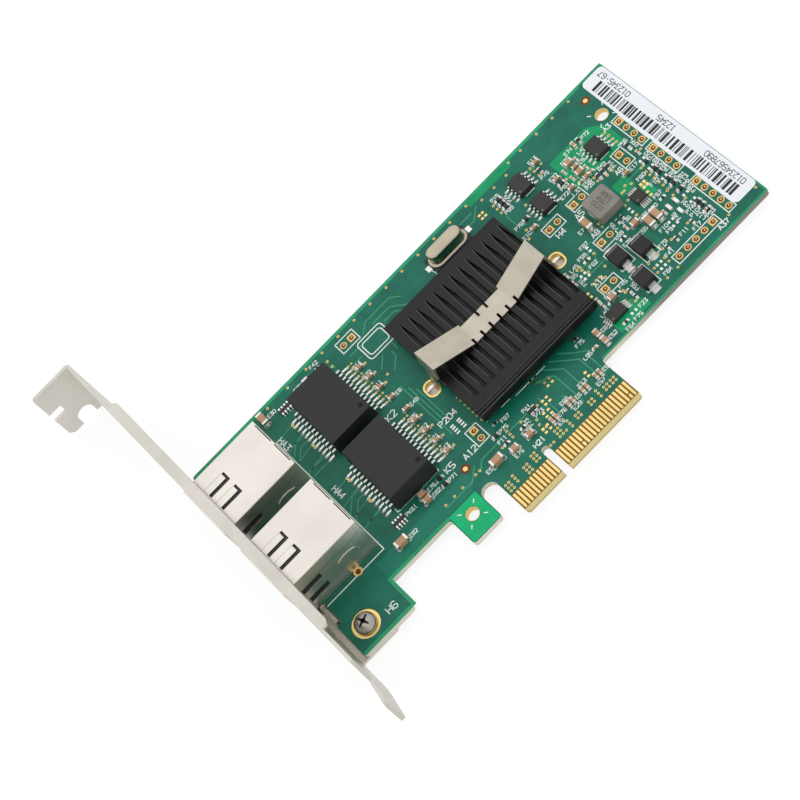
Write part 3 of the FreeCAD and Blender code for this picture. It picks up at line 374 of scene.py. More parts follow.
# Each material: how it is made, its tones and then its grain, edges and gloss.
MATERIALS = {
    "board": (mask_material, "mask_bright", "mask", True),
    "copper_mask": (mask_material, ("mask_light", 1.1), ("mask_light", 0.8)),
    "pour_mask": (mask_material, ("mask_light", 0.78), ("mask_light", 0.55)),
    "copper_dim": (mask_material, ("mask_bright", 1.15), "mask_bright"),
    "rim_mask": (mask_material, ("mask_rim", 1.15), ("mask_rim", 0.85)),
    "track_mask": (mask_material, ("mask_track", 1.1), ("mask_track", 0.9)),
    "print_white": (plastic, "print_white", 0.62, 0.12, 0.006, 0.01, 0.08),
    "gold_plate": (metal, "gold", 0.3, 0.22, (1, 0.2, 1), 0.03),
    "bracket_steel": (metal, "steel", 0.4, 0.3, (1, 0.3, 1), 0.18, 0.003, 0.06),
    "screw_steel": (metal, ("steel", 0.72), 0.26, 0.2, EVEN, 0.15, 0.002, 0.3),
    "clip_steel": (metal, "clip", 0.42, 0.16, EVEN, 0.12, 0.006),
    "can_steel": (metal, "can", 0.3, 0.2, EVEN, 0.1),
    "tinned_lead": (metal, "tin", 0.34, 0.14, EVEN, 0.05, 0.004),
    "shield_tin": (metal, "shield", 0.3, 0.5, (0.3, 1, 1), 0.1, 0.002, 0.05, 0.13),
    # Painted highlight along the rounded bend at the top of a shield's side wall.
    "bend_tin": (plastic, (0.4, 0.34, 0.27), 0.5, 0.5, 0.002, 0.02),
    "ring_gold": (metal, (0.86, 0.58, 0.22), 0.36, 0.2, EVEN, 0.03),
    "hole_gold": (metal, ("gold", 0.9), 0.5, 0.2, EVEN, 0.03),
    "contact_gold": (metal, "gold", 0.25, 0.15, EVEN, 0.04),
    "sink_aluminium": (plastic, "sink", 0.38, 0.14, 0.005, 0.12, 0.25, 0.36),
    "chip_plastic": (plastic, "moulding", 0.55, 0.1, 0.008),
    "diode_plastic": (plastic, 0.006, 0.55, 0.1, 0.008),
    "transformer_plastic": (plastic, "transformer", 0.6, 0.12, 0.012, 0.12),
    "housing_plastic": (plastic, 0.012, 0.45, 0.2),
    "pad_rubber": (plastic, 0.3, 0.8, 0.2),
    "coil_ferrite": (plastic, "ferrite", 0.6, 0.12, 0.02, 0.2, 0.4),
    "capacitor_ceramic": (plastic, "ceramic", 0.45, 0.2, 0.006, 0.06),
    "resistor_ceramic": (plastic, "resistor", 0.35, 0.2, 0.004, 0.05),
    "label_paper": (paper_material,),
    "light_window": (window_material,),
    "ink": (plastic, 0.02, 0.6, 0.1, 0.002, 0.01),
    # Copper inside the holes, painted darker with painted shade.
    "hole_brown": (plastic, "hole_brown", 0.7, 0.1, 0.01, 0.01),
    # Dark gaps of the shield seams, and painted shade for the screw's cross recess.
    "gap_dark": (plastic, 0.01, 0.8, 0.1, 0.004, 0.01),
    "dimple_dark": (plastic, 0.006, 0.5, 0.1, 0.004, 0.02, 0.25, 0.2),
    # Painted highlights on the lit edges of the heat sink's grooves and front ridges.
    "edge_shine": (plastic, 0.085, 0.35, 0.3, 0.004, 0.02),
    "mark_dark": (plastic, 0.07, 0.7, 0.1, 0.002, 0.01),
    "mark_light": (plastic, 0.42, 0.6, 0.1, 0.002, 0.01),
    "mark_grey": (plastic, 0.16, 0.7, 0.1, 0.002, 0.01),
}
MADE = {}


def material(name):
    """The material of that name, made when it is first asked for."""
    if name not in MADE:
        make, *values = MATERIALS[name]
        MADE[name] = make(name, *values)
    return MADE[name]


def circle(x, y, radius, sides):
    """The corners of a many-sided circle."""
    return [(x + radius * math.cos(2 * math.pi * i / sides),
             y + radius * math.sin(2 * math.pi * i / sides)) for i in range(sides)]


class Stock:
    """Faces gathered in the card's drawing frame, to become one piece."""

    def __init__(self, name, slot, paint, soft=False):
        self.name = name
        self.slot = slot
        self.paint = paint
        self.soft = soft
        self.corners = []
        self.faces = []

    def add(self, corners, faces):
        start = len(self.corners)
        self.corners += corners
        self.faces += [tuple(start + i for i in face) for face in faces]

    def skin(self, rings, joined=False):
        """Bands between rings of corners; the ends are closed, or joined to each other."""
        count, rows = len(rings[0]), len(rings)
        faces = [(r * count + i, r * count + (i + 1) % count,
                  (r + 1) % rows * count + (i + 1) % count, (r + 1) % rows * count + i)
                 for r in range(rows if joined else rows - 1) for i in range(count)]
        if not joined:
            faces += [tuple(reversed(range(count))),
                      tuple((rows - 1) * count + i for i in range(count))]
        self.add([corner for ring in rings for corner in ring], faces)

    def prism(self, loop, low, high):
        """An upright block on a loop of corners."""
        area = sum(loop[i - 1][0] * loop[i][1] - loop[i][0] * loop[i - 1][1]
                   for i in range(len(loop)))
        if area < 0:
            loop = loop[::-1]
        self.skin([[(x, y, z) for x, y in loop] for z in (low, high)])

    def box(self, left, low, right, high, under, over):
        self.prism([(left, low), (right, low), (right, high), (left, high)], under, over)

    def along(self, x, y, out, near, far, half, under, over):
        """A block that runs from a place along x or y, from near to far."""
        xs, ys = zip(*[(x + out[0] * step + out[1] * side, y + out[1] * step + out[0] * side)
                       for step in (near, far) for side in (-half, half)])
        self.box(min(xs), min(ys), max(xs), max(ys), under, over)

    def disc(self, x, y, wide, low, high, sides=SIDES):
        self.prism(circle(x, y, wide / 2, sides), low, high)

    def turned(self, x, y, profile, sides=SIDES):
        """A round shape from a profile of (radius, height), lowest first."""
        self.skin([[(*spot, z) for spot in circle(x, y, r, sides)] for r, z in profile])

    def ring(self, x, y, outer, inner, low, high, sides=SIDES):
        """A flat ring."""
        self.skin([[(*spot, z) for spot in circle(x, y, wide / 2, sides)] for wide, z in (
            (inner, high), (inner, low), (outer, low), (outer, high))], True)

    def line(self, points, wide, low, high):
        """A strip of a width along a run of points, with its corners mitred."""
        closed = points[0] == points[-1] and len(points) > 2
        if closed:
            points = points[:-1]
        count = len(points)
        sides = []
        for i, (x, y) in enumerate(points):
            before = points[i - 1] if i > 0 or closed else None
            after = points[(i + 1) % count] if i < count - 1 or closed else None
            arms = []
            if before:
                arms.append((x - before[0], y - before[1]))
            if after:
                arms.append((after[0] - x, after[1] - y))
            arms = [(a / math.hypot(a, b), b / math.hypot(a, b)) for a, b in arms]
            nx, ny = -sum(b for a, b in arms), sum(a for a, b in arms)
            size = math.hypot(nx, ny) or 1
            nx, ny = nx / size, ny / size
            cosine = max(0.4, -nx * arms[0][1] + ny * arms[0][0])
            reach = wide / 2 / cosine
            sides.append(((x + nx * reach, y + ny * reach), (x - nx * reach, y - ny * reach)))
        spans = range(count if closed else count - 1)
        for i in spans:
            a, b = sides[i], sides[(i + 1) % count]
            self.prism([a[0], a[1], b[1], b[0]], low, high)

    def frame(self, left, low, right, high, wide, under, over):
        """A rectangle drawn as a closed line."""
        self.line([(left, low), (right, low), (right, high), (left, high), (left, low)],
                  wide, under, over)

    def standing(self, start, end, wide, near, far):
        """A strip on a wall that faces y, from one place (x, z) to another."""
        (x0, z0), (x1, z1) = start, end
        long = math.hypot(x1 - x0, z1 - z0)
        dx, dz = (x1 - x0) / long * wide / 2, (z1 - z0) / long * wide / 2
        loop = [(x0 - dz, z0 + dx), (x1 - dz, z1 + dx), (x1 + dz, z1 - dx),
                (x0 + dz, z0 - dx)]
        self.skin([[(x, y, z) for x, z in loop] for y in (near, far)])

    def fillet(self, x, y, out, reach, wide, high, low=0.0):
        """A solder fillet: it stands at a wall and runs out from it along a direction."""
        dx, dy = out
        self.skin([[(x + dx * reach * share - dy * wide * side,
                     y + dy * reach * share + dx * wide * side, low + high * rise)
                    for share, rise in ((0, 0), (1, 0), (0.6, 0.12), (0.28, 0.4), (0, 1))]
                   for side in (-0.5, 0.5)])

    def write(self, words, x, y, high, turn, wide, low, top):
        """Plain stroke lettering from a place, turned by quarter turns."""
        step = high / 6
        cosine, sine = ((1, 0), (0, 1), (-1, 0), (0, -1))[turn % 4]
        for place, letter in enumerate(words):
            for stroke in GLYPHS.get(letter, "").split("|"):
                spots = [(int(pair[0]) * step + place * high * LETTER_STEP, int(pair[1]) * step)
                         for pair in stroke.split()]
                if len(spots) > 1:
                    self.line([(x + a * cosine - b * sine, y + a * sine + b * cosine)
                               for a, b in spots], wide, low, top)

    def finish(self):
        """Make the piece, give it its material, and let it ride with the card."""
        if not self.faces:
            raise ValueError("%s has no faces" % self.name)
        mesh = bpy.data.meshes.new(self.name)
        mesh.from_pydata([at(*corner) for corner in self.corners], [], self.faces)
        mesh.materials.append(material(self.paint))
        if self.soft:
            mesh.shade_smooth()
        mesh.update()
        piece = bpy.data.objects.new(self.name, mesh)
        bpy.context.scene.collection.objects.link(piece)
        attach(piece, "root")
        return piece


GLYPHS = {
    "A": "00 26 40|12 32", "B": "00 06 36 45 33 03|33 41 30 00", "E": "46 06 00 40|03 33",
    "C": "45 36 16 05 01 10 30 41", "F": "46 06 00|03 33", "H": "00 06|40 46|03 43",
    "K": "00 06|46 03 40", "L": "06 00 40", "N": "00 06 40 46", "P": "00 06 36 45 44 33 03",
    "R": "00 06 36 45 44 33 03|23 40", "T": "06 46|26 20", "U": "06 01 10 30 41 46",
    "V": "06 20 46", "X": "00 46|06 40", "0": "10 01 05 16 36 45 41 30 10",
    "1": "15 26 20|10 30", "2": "05 16 36 45 44 00 40", "3": "06 46 23 42 41 30 10 01",
    "4": "30 36 02 42", "5": "46 06 03 33 42 41 30 00", "6": "45 36 16 05 01 10 30 41 42 33 03",
    "7": "06 46 10", "8": "13 04 05 16 36 45 44 33 13 02 01 10 30 41 42 33",
    "9": "01 10 30 41 45 36 16 05 04 13 43", "-": "13 33",
}


def node_blocks(node):
    """The separate solids of a CAD piece, as (lowest, highest) corners in millimetres."""
    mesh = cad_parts[node].data
    names = {}
    owner = []
    for vertex in mesh.vertices:
        key = tuple(round(c * 1e6) for c in vertex.co)
        owner.append(names.setdefault(key, len(names)))
    root = list(range(len(names)))

    def find(i):
        while root[i] != i:
            root[i] = root[root[i]]
            i = root[i]
        return i

    for edge in mesh.edges:
        a, b = (find(owner[i]) for i in edge.vertices)
        root[a] = b
    blocks = {}
    for vertex, own in zip(mesh.vertices, owner):
        place = (vertex.co - ZERO) * 1000
        block = blocks.setdefault(find(own), [list(place), list(place)])
        for i in range(3):
            block[0][i] = min(block[0][i], place[i])
            block[1][i] = max(block[1][i], place[i])
    return sorted((tuple(low), tuple(high)) for low, high in blocks.values())


def middle(low, high):
    """The middle of a block seen from above."""
    return (low[0] + high[0]) / 2, (low[1] + high[1]) / 2


def cover(name, *nodes):
    """Give CAD pieces their material."""
    for node in nodes:
        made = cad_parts[node]
        made.data.materials.clear()
        made.data.materials.append(material(name))


COPPER_LIGHT = [
    [(41, 66.3), (54, 66.3), (54.8, 68.2), (40.2, 68.2)],
    [(59.5, 48.6), (74.5, 48.6), (74.5, 55.6), (71.2, 59.0), (59.5, 59.0)],
    [(41, 14.2), (50, 14.2), (50, 16.4), (46.6, 19.8), (41, 19.8)],
    [(64.2, 38.6), (68.4, 38.6), (68.4, 42.6), (64.2, 42.6)],
    [(67.2, 33.4), (70.2, 33.4), (70.2, 37.2), (67.2, 37.2)],
]
COPPER_FOOT = [
    [(-13.0, 4.1), (-8.9, 4.1), (-8.9, 7.6), (-10.2, 8.1), (-10.7, 9.4), (-10.2, 10.7),
     (-8.9, 11.2), (-8.9, 13.0), (-13.0, 13.0)],
    [(-8.9, 4.1), (-5.1, 4.1), (-5.1, 13.0), (-8.9, 13.0), (-8.9, 11.2), (-7.6, 10.7),
     (-7.1, 9.4), (-7.6, 8.1), (-8.9, 7.6)],
]
COPPER_DIM = [
    [(-13, 13.5), (-5.4, 13.5), (-3.6, 15.3), (-3.6, 18), (-31, 18), (-31, 13.5)],
    [(56.8, 20), (62, 20), (62, 29.6), (56.8, 29.6)],
    [(50.6, 16.3), (56.0, 16.3), (56.0, 31.6), (50.6, 31.6)],
    [(56, 37), (64, 37), (64, 44.4), (56, 44.4)],
]
# The rim's runs, each with its width.
RIM = [
    (0.85, [(-45.9, 68.4), (77.6, 68.4)]),
    (0.5, [(77.6, 68.6), (84.55, 68.6), (84.55, 13.35), (34.2, 13.35)]),
    (0.85, [(-12.9, 12.85), (-31.05, 12.85), (-31.05, 4.4), (-45.7, 4.4)]),
]
TRACKS = [
    [(-1.2, 15.3), (0.8, 17.3), (14.7, 17.3)],
    [(3.6, 63), (5.8, 64.9), (13.5, 64.9), (15.6, 62.8)],
    [(6.5, 63.1), (12, 63.1), (16.6, 58.6)], [(8.8, 61.3), (12, 61.3), (16.2, 57.1)],
    [(-2.7, 58.9), (-0.2, 58.9)], [(0.5, 52.5), (3, 55)], [(6.5, 55.8), (6.5, 53.5)],
    [(2.5, 50), (5, 52.5), (5, 54)], [(-27, 52.5), (-24.5, 55.2), (-21.5, 55.2)],
    [(-26.8, 47.2), (-21.6, 47.2)], [(-27.5, 31), (-24, 34.6), (-21.8, 34.6)],
    [(-26, 26.8), (-21.8, 26.8)], [(23.5, 22.5), (27, 18.5), (27, 10)],
    [(26, 22.5), (29, 19.2), (30.8, 17.4), (30.8, 10)],
    [(28.5, 22.4), (31, 19.5), (33.5, 17.2), (32.6, 16.3), (32.6, 11)],
    [(20.8, 21), (22, 20.1), (23.5, 20.1), (24.6, 18.8), (24.6, 9)],
    [(22.6, 14), (22.6, 10)], [(19.4, 15), (19.4, 11)], [(35.5, 62.9), (39, 62.9), (42, 65.6)],
    [(-27, 50.6), (-24.2, 53.4), (-21.5, 53.4)], [(-26.8, 45.4), (-21.6, 45.4)],
    [(-18, 64), (-8, 64), (-6, 62)], [(-18, 65.4), (-7, 65.4)], [(-20, 62.2), (-9, 62.2)],
    [(-27, 29.4), (-23.6, 32.8), (-21.8, 32.8)], [(18.6, 18.2), (18.6, 14.6)],
    [(44.5, 57.6), (44.5, 53.5), (46, 52)], [(55.4, 57.6), (57.6, 57.6), (59, 56.2)],
    [(55.2, 61.4), (57, 61.4)], [(49.4, 36.4), (52, 36.4)], [(44.2, 30.5), (50.6, 30.5)],
    [(44.2, 31.8), (49.2, 31.8), (51, 33.6)], [(44.2, 33.1), (48, 33.1), (50.4, 35.5)],
    [(67.8, 31.6), (71.8, 31.6)], [(67.8, 36.3), (71.8, 36.3)], [(67.4, 40.7), (71.8, 40.7)],
    [(0.6, 27.2), (0.6, 45.8)], [(1.6, 30), (1.6, 44)], [(2.6, 32), (2.6, 42.4)],
    [(-2.2, 61.2), (1.4, 61.2)], [(35.4, 65), (40, 65)], [(-12, 15), (-4, 15), (-1.2, 17.6)],
]
FRAMES = [
    [(-27.3, 59.2), (-27.3, 19.3), (-44.5, 19.3)],
    [(-19.6, 24.4), (-19.6, 23.2), (-7.1, 23.2), (-7.1, 24.4)],
    [(7.6, 56), (7.6, 42)], [(7.6, 31), (7.6, 23)], [(12, 23.0), (14.6, 23.0)],
    [(15.9, 22.4), (24.8, 22.4)],
    [(50.8, 57.4), (53.5, 57.4)], [(50.8, 49.7), (53.5, 49.7)], [(67.5, 49.8), (70.2, 49.8)],
]
BOXES = [
    (-2.6, 62.9, 2.6, 66.3), (2.5, 20, 5.8, 25), (47, 44.9, 52.1, 48),
    (54.8, 44.9, 59.8, 48), (69.5, 43.4, 72.6, 48.6), (52.1, 32.4, 57.2, 35.8),
    (44.8, 23.4, 49.9, 26.6), (75.7, 44.5, 78, 55), (75.7, 32.9, 78, 43.3),
    (75.7, 16.1, 78, 29), (60.4, 15.9, 73.4, 18.6), (51.3, 25, 55.2, 31.4),
    (56.2, 22, 60.2, 29), (51.3, 16.5, 55.2, 22.8),
]
# Larger part marks: the place, the letters, their height and their quarter turns.
LARGE_MARKS = [
    (-27.0, 59.0, "HA3", 1.5, 3), (-26.2, 39.6, "HA4", 1.5, 3), (-6.8, 41.2, "K2", 1.7, 0),
    (-6.3, 20.9, "K5", 1.6, 0), (0.0, 30.2, "P204", 1.5, 0), (-36.2, 6.8, "H6", 1.7, 0),
    (-1.5, 19.9, "A12", 1.5, 0), (48.2, 42.9, "H4", 1.5, 0), (54.0, 42.9, "A5", 1.4, 0),
    (25.6, 60.0, "X2", 1.2, 1), (71.6, 14.4, "A37", 1.2, 0), (73.2, 54.2, "A3", 1.2, 0),
    (10.4, 9.4, "H21", 1.2, 0), (53.0, 36.4, "A8", 1.3, 0), (45.0, 27.0, "A14", 1.2, 0),
    (67.2, 43.6, "A6", 1.2, 0),
]
# Plain running digits on the inductor, and on the label with their starts.
INDUCTOR_ROWS = ("0123", "4567", "8901")
LABEL_WORDS = ((56.6, "012345-67"), (41.4, "12345"), (18.6, "01234567890"))
# Places taken by larger things that small letters keep off.
KEEP_OFF = [(-49, 20, -27.2, 59), (59.5, 58.9, 75, 67), (-46, 3, -36, 13), (-1.5, -1, 34, 5.8)]
# Header holes: the place, and 1 where the ring is square.
HEADERS = [
    (-1.3, 64.6, 0), (1.2, 64.6, 1), (4.2, 23.8, 1), (4.2, 21.25, 0), (48.3, 46.5, 1),
    (50.8, 46.5, 0), (55.9, 46.5, 1), (58.5, 46.5, 0), (71, 47.25, 1), (71, 44.6, 0),
    (53.3, 34.2, 1), (55.9, 34.2, 0), (46, 25.1, 1), (48.6, 25.1, 0), (76.9, 53.6, 1),
    (76.9, 51, 0), (76.9, 48.4, 0), (76.9, 45.8, 0), (76.9, 42, 1), (76.9, 39.4, 0),
    (76.9, 36.8, 0), (76.9, 34.2, 0), (76.9, 27.7, 1), (76.9, 25.1, 0), (76.9, 22.5, 0),
    (76.9, 19.9, 0), (76.9, 17.4, 0), (61.7, 17.4, 0), (64.3, 17.4, 0), (66.8, 17.4, 0),
    (69.4, 17.4, 0), (72, 17.4, 1),
]
# Small plated holes: rows by height, columns by place across, and single ones.
VIA_ROWS = {
    67.45: (54.1, 58, 63.2, 68.3, 73.5, -44, -38.7, -33.6, -28.4, -23.2, -16.8),
    15.7: (-11.5, -8.85, -6.3, -2.4, -1.2, 56.4, 59.6, 75.3, 83.6),
    33.7: (45.2, 46.1, 47.5, 49, 50.4), 65.45: (43.8, 47.7, 51.6), 39.5: (64.7, 65.4, 67.6),
    28.3: (45, 46.2, 47.2), 21.8: (63.4, 68.4, 60.6),
}
VIA_COLUMNS = {
    -22: (59.2, 58.4, 51.4, 50.6, 38.7, 38, 31, 30.3),
    7.2: (33, 31.8, 30.2, 28.8, 27.4, 26, 24.4),
    71.7: (40.5, 38.9, 37.6, 36.2, 34.5, 33.2, 31.6),
    -0.9: (57, 53.3, 49.3, 36.5, 32.6, 28.8, 25), 56.2: (38.2, 37, 21.6, 19.8, 62),
    73: (54.2, 52.9, 51.5, 50.2), 59.4: (19.8, 18.4, 52.8), 48.2: (21.5, 20.8, 17.4),
    44.4: (62, 60.6, 59.1), 8.9: (15.6, 16.6, 17.8),
}
VIAS = [
    (0.65, 50.5), (-44, 62), (34.8, 28.2), (36, 31), (63.5, 47.7), (63.5, 46.4), (65.8, 45.6),
    (67.3, 45.6), (75, 44.2), (66.4, 40.3), (64.3, 37), (62.9, 36.6), (62.9, 32.7),
    (45.9, 32.8), (46.5, 31.2), (48, 27.2), (49.8, 29.3), (68.6, 28.9), (70.7, 29),
    (71.3, 31.4), (71.3, 29.5), (72.5, 26.7), (59.1, 21.6), (56, 18.4), (56.3, 60.6),
    (56.3, 58.9), (58.6, 60.8), (45, 50.9), (43.8, 48.7), (49.2, 55.8), (5.7, 15.6),
    (12.4, 16.8), (15, 14.3), (14.6, 13), (17.4, 16.8), (-6.4, 64.7), (-6.4, 62.8),
]
VIAS += [(-10.9 + 5.13 * i, 67.45) for i in range(11)]
VIAS += [(x, y) for y, places in VIA_ROWS.items() for x in places]
VIAS += [(x, y) for x, heights in VIA_COLUMNS.items() for y in heights]
# Groups of small plated holes: the middle, the columns and the rows.
GROUPS = [
    (0.7, 7.5, 2, 3), (2.7, 8.0, 1, 3), (6.1, 7.4, 2, 3), (8.9, 8.1, 2, 3), (16.6, 7.2, 3, 1),
    (16.2, 8.7, 2, 2), (19.1, 7.8, 1, 3), (21.6, 7.7, 2, 2), (25.6, 7.7, 2, 2),
    (27.9, 7.9, 1, 3), (30.1, 7.6, 2, 2), (32.1, 7.6, 2, 2), (14.8, 11.4, 2, 1),
    (13.4, 7.4, 2, 1),
]
VIAS += [(x + 0.95 * (i - (columns - 1) / 2), y + 0.95 * (j - (rows - 1) / 2))
         for x, y, columns, rows in GROUPS for i in range(columns) for j in range(rows)]
# Tiny parts and empty pads by kind: the middle, and 1 for one turned along y.
TINY = {
    "tan": [(60.3, 54.4, 1), (60.4, 51.7, 1), (64.3, 54.6, 1), (64.3, 51.2, 1), (61, 49.4, 0),
        (64.2, 49.3, 0), (74, 44, 1), (67.1, 27.9, 1), (73, 20.7, 0), (43, 24.3, 1),
        (42.9, 22.4, 1), (59.3, 32.3, 1), (42.6, 31.6, 1), (42.8, 34.6, 1), (34.8, 16.4, 0)],
    "dark": [(48.2, 33.6, 0), (57, 30.9, 0), (61.6, 21.1, 1), (64.2, 21, 1), (69.3, 21.1, 1),
        (69.4, 31, 0), (49, 20.2, 1), (49, 18.2, 1), (47, 21.9, 0), (44.6, 21.6, 0),
        (43.4, 15.4, 0), (59.2, 35, 1), (60.6, 35, 1), (8.5, 21.3, 0), (7, 15.5, 0),
        (11.9, 15.4, 0), (33.5, 21.6, 0), (-9, 65.3, 0)],
    "silver": [(68.6, 27.8, 1), (70.7, 27.8, 1), (69.6, 25.2, 1), (-12.9, 65.4, 0)],
    "pads": [(73.7, 46.6, 1), (73.3, 41.9, 0), (73.3, 38.9, 0), (73.3, 34.5, 0),
        (73.3, 31.5, 0), (62.9, 34.6, 1), (45.3, 31.8, 0), (45.5, 30.6, 0), (50.4, 35.4, 1),
        (66.6, 25.3, 0), (66.6, 23.8, 0), (73.3, 27.5, 0), (73.1, 25, 0), (57.7, 19.8, 0),
        (57.7, 18.4, 0), (46.2, 15.8, 0)],
    "gold": [(68.4, 34.3, 1), (42.7, 26.8, 1), (40.7, 62.3, 1), (41.7, 62.3, 1),
        (20.4, 21.7, 1), (21.7, 21.6, 1), (22.1, 18.9, 1), (23.4, 18.9, 1), (18.8, 16, 1),
        (20, 16, 1), (17, 13.6, 1), (18.3, 13.5, 1), (14.4, 11, 1), (15.7, 11, 1),
        (29.4, 13.3, 1)],
}
TINY_HIGH = {"tan": 0.5, "dark": 0.36}


def rounded(left, low, right, high, radius, steps=7):
    """A closed run of points round a box with rounded corners."""
    points = []
    for x, y, start in (
            (right - radius, high - radius, 0), (left + radius, high - radius, 90),
            (left + radius, low + radius, 180), (right - radius, low + radius, 270)):
        for i in range(steps):
            angle = math.radians(start + 90 * i / (steps - 1))
            points.append((x + radius * math.cos(angle), y + radius * math.sin(angle)))
    return points + points[:1]


def finish_board():
    """The board's mask, its copper areas and its bare edge."""
    cover("board", "circuit_board")
    rise = looks().copper_high * 1000
    for name, paint, loops in (("copper_foot", "copper_mask", COPPER_FOOT),
                               ("copper_areas", "pour_mask", COPPER_LIGHT),
                               ("copper_planes", "copper_dim", COPPER_DIM)):
        stock = Stock(name, "board", paint)
        for loop in loops:
            stock.prism(loop, 0, rise)
        stock.finish()
    stock = Stock("board_rim", "board", "rim_mask")
    for broad, points in RIM:
        stock.line(points, broad, 0, rise * 0.7)
    stock.finish()


def finish_tracks():
    """The single tracks and fan-outs that show through the mask."""
    card = looks()
    wide, rise = card.track_wide * 1000, card.copper_high * 1000
    stock = Stock("tracks", "board", "track_mask")
    for points in TRACKS:
        stock.line(points, wide, 0, rise + 0.004)
    for row, y in LEADS:
        stock.line([(-4.8, y), (-4.1, y)], wide, 0, rise + 0.004)
        if row % 3 == 0:
            stock.line([(-27, y - 1), (-24.4, y - 0.4), (-21.2, y)], wide * 0.8, 0,
                       rise + 0.004)
    stock.finish()


def finish_print():
    """White outlines, ticks and short part marks on the board."""
    card = looks()
    wide, top = card.print_wide * 1000, card.print_high * 1000
    stock = Stock("board_print", "board", "print_white")
    for points in FRAMES:
        stock.line(points, wide, 0, top)
    for box in BOXES:
        stock.frame(*box, wide, 0, top)
    stock.line(rounded(0.6, 56.2, 8.0, 62.1, 0.9), wide * 1.15, 0, top)
    stock.line(rounded(1.35, 57.15, 7.25, 61.15, 0.8), wide * 1.15, 0, top)
    for x, y in TOOL_HOLES:
        for i in range(4):
            angle = math.radians(45 + 90 * i)
            a, b = math.cos(angle), math.sin(angle)
            stock.line([(x + 2.5 * a, y + 2.5 * b), (x + 3.5 * a, y + 3.5 * b)], wide, 0, top)
    for x in (26.3, 34.7):
        for y in (58.9, 65.9):
            inward = 1 if x < 30 else -1
            down = 0.7 if y < 60 else -0.7
            stock.line([(x, y + down), (x, y), (x + inward, y)], wide, 0, top)
    marks = []
    for x, y, words, high, turn in LARGE_MARKS:
        stock.write(words, x, y, high, turn, wide, 0, top)
        run = LETTER_STEP * high * len(words)
        marks.append({0: (x, y, x + run, y + high), 1: (x - high, y, x, y + run),
                      3: (x, y - run, x + high, y)}[turn])
    taken = [(lo[0] - 0.1, lo[1] - 0.1, hi[0] + 0.1, hi[1] + 0.1)
             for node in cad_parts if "jack" not in node
             and node not in ("circuit_board", "bracket", "edge_contacts_back")
             for lo, hi in node_blocks(node) if hi[2] > -0.5]
    taken += [(x - 0.3, y - 0.3, x + 0.3, y + 0.3) for x, y in VIAS]
    taken += [(x - 1, y - 1, x + 1, y + 1) for x, y, square in HEADERS]
    taken += marks
    tiny = [(x, y, kind) for kind, spots in TINY.items() for x, y, turn in spots]
    taken += [(x - 0.7, y - 0.7, x + 0.7, y + 0.7) for x, y, kind in tiny]
    taken += KEEP_OFF
    rng = random.Random(card.seed)
    high = SMALL_LETTER
    homes = [(letter, block) for node, letter in (
        ("capacitors_small", "E"), ("capacitors_large", "E"), ("resistors", "P"),
        ("resistor_array_1", "PK"), ("resistor_array_2", "PK")) for block in node_blocks(node)]
    homes += [("L" if kind == "tan" else "F", ((x - 0.8, y - 0.8), (x + 0.8, y + 0.8)))
              for x, y, kind in tiny if kind != "gold"]
    for letter, (lo, hi) in homes:
        words = "%s%d" % (letter, rng.randrange(2, 96))
        run = LETTER_STEP * high * len(words)
        across, up = middle(lo, hi)
        spots = [(hi[0] + 0.4, up - high / 2, False),
                 (lo[0] - run - 0.2, up - high / 2, False),
                 (across - run / 2, hi[1] + 0.3, False),
                 (across - run / 2, lo[1] - high - 0.3, False),
                 (hi[0] + high + 0.3, up - run / 2, True),
                 (lo[0] - 0.3, up - run / 2, True)]
        spots += [(x + dx, y + dy, upward) for x, y, upward in spots
                  for dx, dy in ((0, 0.9), (0, -0.9), (0.9, 0), (-0.9, 0))]
        for x, y, upward in spots:
            room = (x - high, y, x, y + run) if upward else (x, y, x + run, y + high)
            if all(room[2] < t[0] or room[0] > t[2] or room[3] < t[1]
                   or room[1] > t[3] for t in taken):
                stock.write(words, x, y, high, int(upward), wide * 0.72, 0, top)
                taken.append(room)
                break
    stock.finish()


